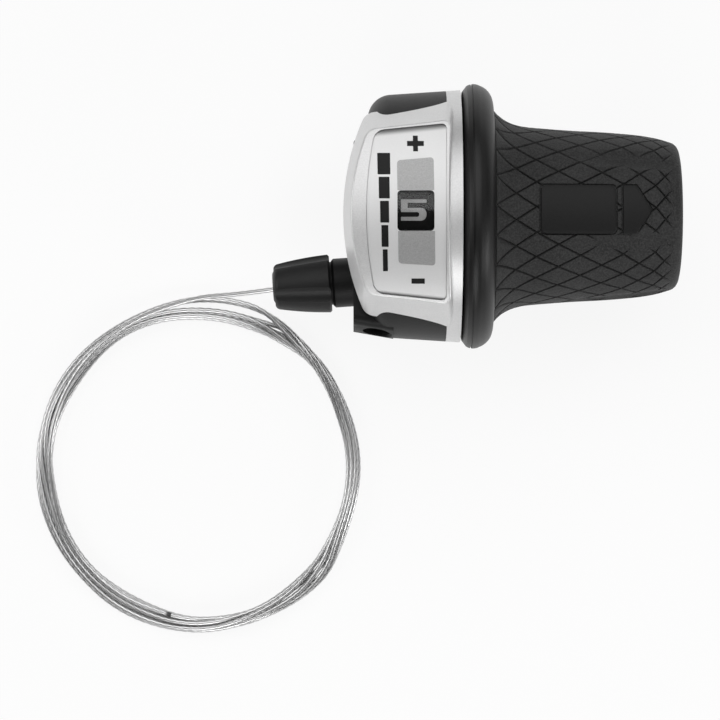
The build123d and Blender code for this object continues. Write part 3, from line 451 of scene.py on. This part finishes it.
# %% Numbers
figures = {
    "1": (".#.", "##.", ".#.", ".#.", "###"),
    "2": ("##o", "..#", "o#o", "#..", "###"),
    "3": ("##o", "..#", "###", "..#", "##o"),
    "4": ("#.#", "#.#", "###", "..#", "..#"),
    "5": ("###", "#..", "##o", "..#", "##o"),
}
window_x, window_y = 12.7, 0.15
figure_x, figure_y = window_x - 0.4, window_y + 0.24
ring_radius = 23.2
click_angle = 22.0
wide_columns, narrow_columns = (1.35, 2.35, 1.5), (1.2, 1.4, 1.2)
figure_rows = (0.7, 1.05, 0.85, 0.97, 0.77)
figure_corner, figure_lift, figure_thickness = 0.08, 0.01, 0.05
gear_numbers = []
for number, pattern in figures.items():
    columns = narrow_columns if number == "1" else wide_columns
    figure = block_mark("number_" + number, pattern, columns, figure_rows, figure_corner)
    middle = radians(90.0 - click_angle * (len(figures) - int(number)))
    radius = (ring_radius + figure_lift) * mm
    for vertex in figure.data.vertices:
        angle = middle - (vertex.co.y / mm + figure_y) / ring_radius
        vertex.co = (vertex.co.x + figure_x * mm, radius * cos(angle), radius * sin(angle))
    thicken(figure, figure_thickness)
    finish_piece(figure, "grip")
    gear_numbers.append(figure)

# %% [markdown]
# ## Printed marks on the face label
# The label follows the crowned cover, a cylinder along the bar's direction. Flat marks are laid on it
# by giving every point the crown's height there. The sheet of ink is a few hundredths thick,
# so that it is a real shape and never fights with the label for the same surface.

# %% Signs on the label
crown_radius, crown_middle = 44.7, -18.3
print_lean = 0.016
ink_lift, ink_thickness = 0.005, 0.03
sign_corner = 0.06


def lay_on_label(piece, x, y):
    """Moves a flat mark to a place on the label and bends it to the crown."""
    for vertex in piece.data.vertices:
        across = vertex.co.y / mm + y
        along = vertex.co.x / mm + x - print_lean * across
        height = crown_middle + sqrt(crown_radius**2 - across**2) + ink_lift
        vertex.co = (along * mm, across * mm, height * mm)
    thicken(piece, ink_thickness)
    finish_piece(piece, "housing")


plus_cells = (".#.", "###", ".#.")
plus_sign = block_mark("plus_sign", plus_cells, (1.2, 1.0, 1.2), (1.1, 1.05, 1.1), sign_corner)
lay_on_label(plus_sign, 12.85, 13.85)
minus_sign = block_mark("minus_sign", ("#",), (2.7,), (1.05,), sign_corner)
lay_on_label(minus_sign, 12.95, -14.1)

# %% [markdown]
# ## Grey patches beside the window
# A grey patch runs from each side of the window towards the plus or the minus sign. Only its outer
# corners are rounded, and its outer edge leans as the end of the label does.

# %% Grey patches
patch_width, patch_corner = 7.45, 0.7
patch_start = 4.13
patch_x = window_x + 0.05


def grey_patch(name, inner, outer, lean):
    """A patch between two distances across the bar, its outer edge leaning."""
    height = abs(outer - inner)
    outward = copysign(1, outer - inner)

    def at_outer_end(place):
        return place.y * outward > 0

    patch = block_mark(name, ("#",), (patch_width,), (height,), patch_corner, at_outer_end)
    for vertex in patch.data.vertices:
        share = 0.5 + outward * vertex.co.y / (height * mm)
        vertex.co.y += outward * lean * vertex.co.x * share
    lay_on_label(patch, patch_x, (inner + outer) / 2)
    return patch


patches = [
    grey_patch("panel_up", window_y + patch_start, 10.7, 0.09),
    grey_patch("panel_low", window_y - patch_start, -10.75, 0.06),
]

# %% [markdown]
# ## A plain five-step scale
# Beside the window stands a row of five plain bars, one for each gear, wider towards the plus sign.
# Each bar is a mark of a single cell, with its own mesh and width.

# %% Scale bars
bar_x, bar_from, bar_pitch = 6.35, -9.9, 4.9
bar_length, bar_width, bar_widening, bar_corner = 4.4, 1.0, 0.4, 0.12
scale_bars = []
for step in range(len(figures)):
    width = bar_width + bar_widening * step
    bar = block_mark("scale_bar_" + str(step + 1), ("#",), (width,), (bar_length,), bar_corner)
    lay_on_label(bar, bar_x, bar_from + step * bar_pitch)
    scale_bars.append(bar)

# %% [markdown]
# ## Rubber sleeve with a diamond tread
# The sleeve is moulded rubber with two sets of fine grooves that cross and leave diamonds.
# A flat grid is the start, with a millimetre as its unit. Poking each face and dissolving the old edges
# turns squares into diamonds, insetting each diamond leaves a strip for the groove, and the outer edge
# of every strip is pushed down, apart from the end of the sheet, where the tread runs out.

# %% Flat diamond sheet
tread_stations = (29.1, 37.6, 46.8, 55.6, 62.2, 66.2)
tread_start, tread_end = tread_stations[0], tread_stations[-1]
diamonds_round = 22
unrolled_radius = 18.0
pitch = 2 * pi * unrolled_radius / diamonds_round
groove_half_width, groove_depth = 0.26, 0.5
tread_cuts = 3
hair = 1e-4


def faces_on_edges(piece):
    """How many faces use each edge."""
    uses = {}
    for face in piece.data.polygons:
        for key in face.edge_keys:
            uses[key] = uses.get(key, 0) + 1
    return uses


start_clean()
columns = len(tread_stations) - 1
bpy.ops.mesh.primitive_grid_add(x_subdivisions=columns, y_subdivisions=diamonds_round, size=2)
tread = bpy.context.object
tread.name = "grip_tread"
for vertex in tread.data.vertices:
    vertex.co.x = tread_stations[round((vertex.co.x + 1) / 2 * columns)]
    vertex.co.y = round((vertex.co.y + 1) / 2 * diamonds_round) * pitch
old_edges = {edge.key for edge in tread.data.edges}
edit_all(tread)
bpy.ops.mesh.poke()
bpy.ops.object.mode_set(mode="OBJECT")
uses = faces_on_edges(tread)
edit_some(tread, "EDGE", lambda edge: edge.key in old_edges and uses[edge.key] == 2)
bpy.ops.mesh.dissolve_edges(use_verts=False)
bpy.ops.mesh.select_mode(type="FACE")
bpy.ops.mesh.select_all(action="SELECT")
groove_points = len(tread.data.vertices)
bpy.ops.mesh.inset(thickness=groove_half_width, use_individual=True, use_even_offset=True)
bpy.ops.object.mode_set(mode="OBJECT")
for vertex in tread.data.vertices:
    in_groove = vertex.index < groove_points and vertex.co.x < tread_end - hair
    vertex.co.z = -groove_depth if in_groove else 0.0
edit_all(tread)
bpy.ops.mesh.subdivide(number_cuts=tread_cuts)
bpy.ops.object.mode_set(mode="OBJECT")
print("diamond sheet faces:", len(tread.data.polygons))

# %% [markdown]
# The flat sheet is rolled round the bar. A ray sent inwards from outside finds the radius of the measured
# sleeve at each point, so the shallow valleys between its lobes are followed exactly. The grooves go down
# from the lobes' own height, so they fade out where a valley is deeper than they are.

# %% Roll the sheet onto the sleeve
sleeve = nodes["grip_rubber"]
tread_turn = radians(4.3)
on_a_lobe = radians(20)
ray_start = 0.05
start_inset = 0.02
merge_distance = 0.01


def sleeve_radius(x, angle):
    """Outer radius of the measured sleeve at a place, in mm."""
    on_axis = Vector((x * mm, 0, 0))
    outward = Vector((0, cos(angle), sin(angle)))
    hit, place, normal, index = sleeve.ray_cast(on_axis + outward * ray_start, -outward)
    return (place - on_axis).length / mm


for vertex in tread.data.vertices:
    x, along, height = vertex.co
    angle = along / unrolled_radius + tread_turn
    depth = groove_depth * ease(-height, 0, groove_depth)
    x = min(max(x, tread_start + start_inset), tread_end)
    radius = min(sleeve_radius(x, angle), sleeve_radius(x, on_a_lobe) - depth)
    vertex.co = (x * mm, radius * cos(angle) * mm, radius * sin(angle) * mm)
edit_all(tread)
bpy.ops.mesh.remove_doubles(threshold=merge_distance * mm)
bpy.ops.object.mode_set(mode="OBJECT")
print("rolled sheet faces:", len(tread.data.polygons))

# %% [markdown]
# The open end of the rolled sheet is carried on as rings: round the outer end of the sleeve,
# in over the lip that hugs the bar, and back along the inside. Each ring is the last one extruded
# and drawn in. The first ring lies half way between the sheet's wavy edge and a true circle.
# The last ring is bridged to the sheet's first edge, which closes the shape.

# %% Close the sleeve
end_rings = [
    (66.9, 15.28),
    (67.5, 14.75),
    (67.85, 14.1),
    (68.0, 13.4),
    (68.0, 11.6),
    (65.4, 11.6),
    (65.4, 14.33),
    (29.15, 14.33),
]
first_ring_drop = 0.3
ring_tolerance = 0.02


def edit_open_ring(piece, x):
    """Edit mode with the open edge loop selected that lies at x."""
    uses = faces_on_edges(piece)
    places = piece.data.vertices

    def open_at_x(edge):
        at_x = all(abs(places[end].co.x - x * mm) < ring_tolerance * mm for end in edge.vertices)
        return at_x and uses[edge.key] == 1

    edit_some(piece, "EDGE", open_at_x)


ring_x = tread_end
for index, (x, radius) in enumerate(end_rings):
    edit_open_ring(tread, ring_x)
    bpy.ops.mesh.extrude_edges_move()
    bpy.ops.object.mode_set(mode="OBJECT")
    for vertex in [vertex for vertex in tread.data.vertices if vertex.select]:
        distance = hypot(vertex.co.y, vertex.co.z)
        target = radius * mm
        if index == 0:
            target = (target + distance - first_ring_drop * mm) / 2
        drawn_in = target / distance
        vertex.co = (x * mm, vertex.co.y * drawn_in, vertex.co.z * drawn_in)
    ring_x = x
uses = faces_on_edges(tread)
edit_some(tread, "EDGE", lambda edge: uses[edge.key] == 1)
bpy.ops.mesh.bridge_edge_loops()
bpy.ops.mesh.select_all(action="SELECT")
bpy.ops.mesh.normals_make_consistent(inside=False)
bpy.ops.object.mode_set(mode="OBJECT")
print("closed sleeve faces:", len(tread.data.polygons))

# %% [markdown]
# ## Raised panel and arrow on the sleeve
# A smooth rounded rectangle stands a third of a millimetre proud of the tread, for the thumb,
# and an arrow follows it. Each is a grid shaped in the flat, laid on the sleeve and then given
# its thickness inwards and a small bevel along its edges. A fine groove runs round each one:
# a slightly larger copy is taken out of the tread.

# %% Shapes in the flat
panel_from, panel_to, panel_half, panel_corner = 38.5, 53.9, 5.1, 1.2
arrow_from, arrow_shoulder, arrow_tip = 55.4, 58.0, 61.3


def rounded_rectangle(u, v, margin):
    """A place on the panel, along and across in mm, for u and v from -1 to 1."""
    half_length, half_across = (panel_to - panel_from) / 2 + margin, panel_half + margin
    along, across = u * half_length, v * half_across
    inner_along, inner_across = half_length - panel_corner, half_across - panel_corner
    over_along, over_across = max(abs(along) - inner_along, 0), max(abs(across) - inner_across, 0)
    if over_along and over_across:
        shrink = max(over_along, over_across) / hypot(over_along, over_across)
        along = copysign(inner_along + over_along * shrink, along)
        across = copysign(inner_across + over_across * shrink, across)
    return (panel_from + panel_to) / 2 + along, across


def arrow_head(u, v, margin):
    """A place on the arrow, along and across in mm, for u and v from -1 to 1."""
    first = arrow_from - margin
    reach = arrow_tip + margin - abs(v) * (arrow_tip - arrow_shoulder)
    return first + (u + 1) / 2 * (reach - first), v * (panel_half + margin)


print("panel length, mm:", round(panel_to - panel_from, 1))

# %% Panel and arrow
raised_angle, raised_height, sunk_depth = radians(87.5), 0.35, 0.4
moat = 0.38
rounding = {"width": 0.12 * mm, "segments": 2, "limit_method": "ANGLE", "angle_limit": radians(50)}
rubber_angle = 40


def raised_sheet(name, shape, columns, rows, margin=0.0):
    """A sheet laid on the sleeve at the raised height and thickened inwards."""
    start_clean()
    bpy.ops.mesh.primitive_grid_add(x_subdivisions=columns, y_subdivisions=rows, size=2)
    piece = bpy.context.object
    piece.name = name
    for vertex in piece.data.vertices:
        x, across = shape(vertex.co.x, vertex.co.y, margin)
        radius = sleeve_radius(x, on_a_lobe) + raised_height
        angle = raised_angle - across / radius
        vertex.co = (x * mm, radius * cos(angle) * mm, radius * sin(angle) * mm)
    edit_all(piece)
    bpy.ops.mesh.normals_make_consistent(inside=False)
    bpy.ops.object.mode_set(mode="OBJECT")
    apply_modifier(piece, "SOLIDIFY", thickness=(raised_height + sunk_depth) * mm, offset=-1.0)
    return piece


def raised_piece(name, shape, columns, rows):
    """A raised sheet with rounded edges, and its groove in the tread."""
    cutter = raised_sheet(name + "_cutter", shape, columns, rows, moat)
    apply_modifier(tread, "BOOLEAN", object=cutter, operation="DIFFERENCE", solver="EXACT")
    bpy.data.objects.remove(cutter)
    piece = raised_sheet(name, shape, columns, rows)
    apply_modifier(piece, "BEVEL", **rounding)
    finish_piece(piece, "grip", rubber_angle)
    return piece


grip_panel = raised_piece("grip_panel", rounded_rectangle, 20, 12)
grip_arrow = raised_piece("grip_arrow", arrow_head, 8, 12)
finish_piece(tread, "grip", rubber_angle)
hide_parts("grip_rubber")

# %% [markdown]
# ## Shader sums
# A finish is a Principled shader fed by patterns. Sums on the patterns are written as Python
# expressions: this small class wraps a socket, and each operator adds a Math node. Any other node
# comes from one method, which takes the node's type, its settings and what goes into its sockets.

# %% Sockets that add up
class Pattern:
    """An output socket of a node tree, for use in expressions."""

    def __init__(self, maker, socket):
        self.maker, self.socket = maker, socket

    def math(self, operation, first, second):
        return self.maker.node("ShaderNodeMath", {"operation": operation}, {0: first, 1: second})

    def __add__(self, other):
        return self.math("ADD", self, other)

    def __sub__(self, other):
        return self.math("SUBTRACT", self, other)

    def __rsub__(self, other):
        return self.math("SUBTRACT", other, self)

    def __mul__(self, other):
        return self.math("MULTIPLY", self, other)

    __radd__ = __add__
    __rmul__ = __mul__

    def or_more(self, other):
        """The larger of two values."""
        return self.math("MAXIMUM", self, other)


class NodeMaker:
    """A node tree, and the one way to add a node to it."""

    def __init__(self, tree):
        self.tree = tree

    def node(self, kind, settings, inputs, output=0):
        """Adds a node, sets it, feeds its sockets and gives back one of its outputs."""
        made = self.tree.nodes.new(kind)
        for name, value in settings.items():
            setattr(made, name, value)
        for socket, value in inputs.items():
            self.feed(made.inputs[socket], value)
        return Pattern(self, made.outputs[output])

    def feed(self, socket, value):
        """Links a pattern to a socket, or sets the socket to a plain value."""
        if isinstance(value, Pattern):
            self.tree.links.new(value.socket, socket)
        else:
            socket.default_value = value


# %% [markdown]
# ## A finish
# A finish is a material whose patterns lie on the piece's own coordinates. What is the same all over
# is set on the shader when it is made. What varies is set afterwards, from noise, steps and mixes.

# %% Finishes
class Finish(NodeMaker):
    """A material with one Principled shader."""

    def __init__(self, name, **constants):
        self.material = bpy.data.materials.new(name)
        self.material.use_nodes = True
        super().__init__(self.material.node_tree)
        self.shader = self.tree.nodes["Principled BSDF"]
        for socket, value in constants.items():
            self.set(socket.replace("_", " "), value)
        self.place = self.node("ShaderNodeTexCoord", {}, {}, "Object")

    def set(self, socket, value):
        self.feed(self.shader.inputs[socket], value)

    def stretched(self, scale, vector=None):
        """Coordinates stretched by three factors, to draw a pattern out along a direction."""
        return self.node("ShaderNodeMapping", {}, {"Vector": vector or self.place, "Scale": scale})

    def part(self, vector, axis):
        """One of the three parts of a vector."""
        return self.node("ShaderNodeSeparateXYZ", {}, {"Vector": vector}, axis)

    def noise(self, scale, detail=3.0, rough=0.5, vector=None):
        inputs = {"Vector": vector or self.place, "Scale": scale, "Detail": detail, "Roughness": rough}
        return self.node("ShaderNodeTexNoise", {}, inputs)

    def steps(self, value, low, high):
        """Nought below low, one above high, soft between them."""
        inputs = {"Value": value, "From Min": low, "From Max": high}
        return self.node("ShaderNodeMapRange", {"interpolation_type": "SMOOTHSTEP"}, inputs)

    def mixed(self, share, first, second):
        """A colour between two colours or patterns."""
        settings = {"data_type": "RGBA"}
        return self.node("ShaderNodeMix", settings, {0: share, 6: first, 7: second}, 2)

    def bump(self, height, distance, strength=1.0):
        inputs = {"Height": height, "Distance": distance, "Strength": strength}
        self.set("Normal", self.node("ShaderNodeBump", {}, inputs))

    def on(self, *pieces):
        for piece in pieces:
            piece.data.materials.clear()
            piece.data.materials.append(self.material)
        print(self.material.name, "on:", ", ".join(piece.name for piece in pieces))


def grey(value, warmth=0.0):
    """A grey, a little warm or cold."""
    return (value * (1 + warmth), value, value * (1 - warmth), 1.0)


# %% [markdown]
# ## Silver cover
# The cover is plastic with satin silver paint: fine metal flakes give a bright grain,
# and the sprayed surface is very slightly uneven. A voronoi pattern with tiny cells is the flake,
# and it changes the colour and the roughness a little from cell to cell.

# %% Silver paint
silver = Finish("silver_paint", Metallic=0.4, Coat_Weight=0.15, Coat_Roughness=0.25)
flake = silver.node("ShaderNodeTexVoronoi", {}, {"Vector": silver.place, "Scale": 5200.0}, "Color")
flake_tone = silver.node("ShaderNodeSeparateColor", {}, {"Color": flake}, "Red")
cloud = silver.noise(160.0, 4.0)
silver.set("Base Color", silver.mixed(flake_tone * 0.5 + cloud * 0.5, grey(0.62), grey(0.76)))
silver.set("Roughness", 0.33 + flake_tone * 0.08 + cloud * 0.06)
silver.bump(silver.noise(2600.0, 2.0), 0.02 * mm, 0.25)
silver.on(nodes["top_cover"])

# %% [markdown]
# ## Face label
# The label is a foil with a fine even grain, lighter than the cover. Shade from the recess is painted
# along its two ends, which lean a little, so it is found from how far across and along a point lies.

# %% Foil
foil = Finish("silver_foil", Metallic=0.35)
grain = foil.noise(3400.0, 3.0, 0.7)
drift = foil.noise(120.0, 2.0)
unshaded_foil = foil.mixed(grain * 0.6 + drift * 0.4, grey(0.67), grey(0.79))
end_offset, end_lean = 15.9 * mm, 0.103
far_shade_width, near_shade_width = 1.3 * mm, 0.65 * mm
across_bar = foil.part(foil.place, "Y")
leaning = foil.part(foil.place, "X") * end_lean
# Painted shade: the foil darkens towards its two ends, where the recess walls would shade it.
far_end_shade = foil.steps(across_bar - leaning, end_offset - far_shade_width, end_offset)
near_end_shade = foil.steps(-1.0 * across_bar - leaning, end_offset - near_shade_width, end_offset)
foil.set("Base Color", foil.mixed(far_end_shade * 0.9 + near_end_shade * 0.8, unshaded_foil, grey(0.05)))
foil.set("Roughness", 0.36 + grain * 0.12)
foil.bump(grain, 0.01 * mm, 0.3)
foil.on(nodes["face_label"])

# %% [markdown]
# ## Ink
# The signs and the scale are black ink, hardly glossy. The patches are grey ink with a metal speckle.

# %% Black and grey ink
black_ink = Finish("black_ink", Specular_IOR_Level=0.2)
spots = black_ink.noise(2500.0, 2.0)
black_ink.set("Base Color", black_ink.mixed(spots, grey(0.004), grey(0.012)))
black_ink.set("Roughness", 0.38 + spots * 0.15)
black_ink.on(plus_sign, minus_sign, *scale_bars)

grey_ink = Finish("grey_ink", Metallic=0.5)
speckle = grey_ink.noise(3800.0, 4.0, 0.75)
speckle_share = grey_ink.steps(speckle, 0.3, 0.7)
grey_ink.set("Base Color", grey_ink.mixed(speckle_share, grey(0.34), grey(0.45)))
grey_ink.set("Roughness", 0.4 + speckle * 0.15)
grey_ink.on(*patches)

# %% [markdown]
# ## Window and number ring
# The window is clear polished plastic. It lets nearly all light through to the number below
# and mirrors a few hundredths of it, which is a mirror of that small alpha. The ring below is
# deep black, and its figures are a plain mid grey.

# %% Window, ring and figures
window = Finish("window_clear", Metallic=1.0, Alpha=0.02)
haze = window.noise(700.0, 3.0)
window.set("Base Color", window.mixed(haze, grey(0.85), grey(0.95)))
window.set("Roughness", 0.05 + haze * 0.06)
window.on(nodes["window_lens"])

ring_black = Finish("ring_black", Specular_IOR_Level=0.12)
ring_cloud = ring_black.noise(500.0, 3.0)
ring_black.set("Base Color", ring_black.mixed(ring_cloud, grey(0.002), grey(0.005)))
ring_black.set("Roughness", 0.42 + ring_cloud * 0.1)
ring_black.on(nodes["number_ring"])

figure_grey = Finish("figure_grey", Roughness=0.45)
figure_tone = figure_grey.noise(1800.0, 3.0)
figure_grey.set("Base Color", figure_grey.mixed(figure_tone, grey(0.36), grey(0.46)))
figure_grey.on(*gear_numbers)

# %% [markdown]
# ## Black mouldings
# Housing, adjuster knob and collar are black plastic. The housing has a fine spark-eroded grain
# from its mould. The collar is smoother and catches a soft highlight. A slow change of tone keeps large
# faces from looking dead.

# %% Black plastics
def black_moulding(name, tone, rough, specular, grain_size, grain_depth):
    """Black plastic with a moulded grain."""
    finish = Finish(name, Specular_IOR_Level=specular)
    cells = finish.noise(grain_size, 4.0, 0.65)
    slow = finish.noise(90.0, 3.0)
    shade = slow * 0.7 + cells * 0.3
    finish.set("Base Color", finish.mixed(shade, grey(tone * 0.75), grey(tone * 1.3)))
    finish.set("Roughness", cells * 0.1 + slow * 0.06 + (rough - 0.08))
    finish.bump(cells, grain_depth)
    return finish


housing_black = black_moulding("housing_black", 0.008, 0.46, 0.2, 2600.0, 0.03 * mm)
housing_black.on(nodes["housing"])
knob_black = black_moulding("knob_black", 0.016, 0.44, 0.26, 1900.0, 0.025 * mm)
knob_black.on(nodes["adjuster_knob"])
collar_black = black_moulding("collar_black", 0.01, 0.41, 0.3, 2400.0, 0.02 * mm)
collar_black.on(nodes["grip_core"])

# %% [markdown]
# ## Rubber
# Moulded rubber is matt, with a fine stipple from its mould, and painted glints make the stipple's tops
# paler.
# A slow noise stands for dust that has settled unevenly. The panel and the arrow are smoother and darker.

# %% Rubber
rubber = Finish("grip_rubber_black", Specular_IOR_Level=0.26)
stipple = rubber.noise(2700.0, 3.0, 0.6)
dust = rubber.noise(140.0, 4.0)
# Painted glints: the stipple's tops are painted paler. The slow noise is real dust.
dust_and_glint = dust * 0.4 + rubber.steps(stipple, 0.34, 0.68) * 0.6
rubber.set("Base Color", rubber.mixed(dust_and_glint, grey(0.01), grey(0.052)))
rubber.set("Roughness", 0.5 + stipple * 0.2)
rubber.bump(stipple, 0.13 * mm)
rubber.on(tread)

panel_rubber = Finish("panel_rubber_black", Specular_IOR_Level=0.26)
fine = panel_rubber.noise(3000.0, 3.0, 0.6)
panel_rubber.set("Base Color", panel_rubber.mixed(fine, grey(0.005), grey(0.012)))
panel_rubber.set("Roughness", 0.5 + fine * 0.12)
panel_rubber.bump(fine, 0.03 * mm)
panel_rubber.on(grip_panel, grip_arrow)

# %% [markdown]
# ## Steel wire
# The wire is drawn steel: bright lobes, and painted shade where the strands meet. The map on the tube runs
# along the wire, so fine drawing lines follow it, and the last millimetre is darkened where it was cut.

# %% Steel wire
steel_wire = Finish("drawn_steel", Metallic=0.85)
along = steel_wire.node("ShaderNodeUVMap", {"uv_map": "along"}, {})
lines = steel_wire.noise(1.0, 4.0, 0.6, steel_wire.stretched((40.0, 900.0, 1.0), along))
dull = steel_wire.noise(220.0, 3.0)
cut_from, cut_full = wire_length - 1.5 * mm, wire_length - 0.7 * mm
burnt = steel_wire.steps(steel_wire.part(along, "Y"), cut_from, cut_full)
gap = steel_wire.node("ShaderNodeAttribute", {"attribute_name": "between_strands"}, {}, "Fac")
drawn_tone = steel_wire.mixed(lines * 0.5 + dull * 0.5, grey(0.52), grey(0.98))
# Painted shade: darker between the strands, where shade falls.
wire_tone = steel_wire.mixed(gap * gap * 0.45, drawn_tone, grey(0.15))
steel_wire.set("Base Color", steel_wire.mixed(burnt, wire_tone, grey(0.09)))
steel_wire.set("Roughness", 0.24 + lines * 0.14 + burnt * 0.3)
steel_wire.on(inner_wire)

# %% [markdown]
# ## Small metal and slippery plastic
# Screws, springs and pins are turned or drawn metal, with fine marks and a little staining.
# The carriage and the washers are natural acetal, a milky white that slides well.

# %% Works inside
def metal(name, tone, warmth, rough):
    """Plain metal with fine turning marks and a little staining."""
    finish = Finish(name, Metallic=1.0)
    marks = finish.noise(900.0, 3.0, 0.6, finish.stretched((6.0, 1.0, 1.0)))
    stain = finish.noise(260.0, 3.0)
    dark, bright = grey(tone * 0.7, warmth), grey(tone, warmth)
    finish.set("Base Color", finish.mixed(marks * 0.5 + stain * 0.5, dark, bright))
    finish.set("Roughness", rough + marks * 0.15)
    return finish


steel_names = ("cover_screws", "detent_spring", "follower_pin", "wire_head", "adjuster_spring")
metal("plain_steel", 0.62, 0.0, 0.28).on(*[nodes[name] for name in steel_names])
dark_names = ("clamp_screw", "retaining_ring", "adjuster_barrel")
metal("black_steel", 0.06, 0.0, 0.4).on(*[nodes[name] for name in dark_names])
metal("plain_brass", 0.6, 0.28, 0.26).on(nodes["thread_insert"])

acetal = Finish("acetal_white")
mottle = acetal.noise(400.0, 3.0)
acetal.set("Base Color", acetal.mixed(mottle, grey(0.66, 0.02), grey(0.76, 0.02)))
acetal.set("Roughness", 0.36 + mottle * 0.12)
acetal.on(nodes["cable_carriage"], nodes["inner_washer"], nodes["outer_washer"])

# %% [markdown]
# ## Floor
# A plain floor lies just under the collar and the coil. To the camera it is white, mostly by its own glow,
# and the rest of it takes light and shadow, so the object stands on something. Reflections and clear
# plastic show the same white. To all other rays it is a little greyer, as a table is.

# %% Floor
floor_gap = 0.06
glow_share = 0.88
floor_height = (floor_z - floor_gap) * mm
start_clean()
bpy.ops.mesh.primitive_grid_add(x_subdivisions=8, y_subdivisions=8, size=6, location=(0, 0, floor_height))
floor = bpy.context.object
floor.name = "studio_floor"
bpy.ops.object.transform_apply(location=True)
floor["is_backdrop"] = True
floor_white = Finish("floor_white", Roughness=0.9)
camera_ray = floor_white.node("ShaderNodeLightPath", {}, {}, "Is Camera Ray")
glossy_ray = floor_white.node("ShaderNodeLightPath", {}, {}, "Is Glossy Ray")
through_ray = floor_white.node("ShaderNodeLightPath", {}, {}, "Is Transmission Ray")
seen = camera_ray.or_more(glossy_ray).or_more(through_ray)
floor_pale = floor_white.mixed(floor_white.noise(6.0, 2.0), grey(0.93), grey(0.95))
floor_white.set("Base Color", floor_white.mixed(seen, grey(0.86), floor_pale))
lit = Pattern(floor_white, floor_white.shader.outputs["BSDF"])
glow = floor_white.node("ShaderNodeEmission", {}, {})
blend = floor_white.node("ShaderNodeMixShader", {}, {"Fac": seen * glow_share, 1: lit, 2: glow})
floor_white.feed(floor_white.tree.nodes["Material Output"].inputs["Surface"], blend)
floor_white.on(floor)

# %% [markdown]
# ## Light
# One large soft lamp stands beyond the bar, so the crowned label is brighter on its far half.
# A smaller one near the rider gives the bright streak on the cover's band, a low one to the right
# the glint on the collar, and one to the left lights the cover's rim and the adjuster. A dim, nearly
# even sky fills the shadows a little.

# %% Sky and lamps
world = bpy.data.worlds.new("studio")
bpy.context.scene.world = world
world.use_nodes = True
sky = NodeMaker(world.node_tree)
direction = sky.node("ShaderNodeTexCoord", {}, {}, "Generated")
upward = sky.node("ShaderNodeSeparateXYZ", {}, {"Vector": direction}, "Z")
strength = sky.node("ShaderNodeMapRange", {}, {"Value": upward, "To Min": 0.52, "To Max": 0.48})
sky.feed(world.node_tree.nodes["Background"].inputs["Strength"], strength)


def soft_lamp(name, place, aim, width, depth, power):
    """A rectangular lamp that faces a point."""
    bpy.ops.object.light_add(type="AREA", location=place)
    lamp = bpy.context.object
    lamp.name = name
    lamp.data.shape = "RECTANGLE"
    lamp.data.size = width
    lamp.data.size_y = depth
    lamp.data.energy = power
    lamp.rotation_euler = (Vector(aim) - Vector(place)).to_track_quat("-Z", "Y").to_euler()


soft_lamp("beyond", (0.1, 0.4, 0.66), (0.0, 0.0, 0.0), 0.9, 0.84, 4.3)
soft_lamp("near", (-0.03, -0.5, 0.3), (0.02, -0.01, 0.0), 0.3, 0.3, 1.15)
soft_lamp("right", (0.55, -0.27, 0.2), (0.03, 0.0, 0.0), 0.2, 0.2, 1.0)
soft_lamp("left", (-0.6, 0.1, 0.4), (-0.01, 0.0, 0.0), 0.45, 0.45, 1.7)

# %% [markdown]
# ## Size
# The boxes round the measured object and the dressed one are gathered and printed, in mm. The
# dressed object has to stay as large as the measured one.

# %% Boxes and the end
visual_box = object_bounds()
sizes = {
    "cad": [list(corner) for corner in cad_box],
    "visual": [list(corner) for corner in visual_box],
}
for name, box in sizes.items():
    print(name, "box, mm:", [[round(value / mm, 2) for value in corner] for corner in box])
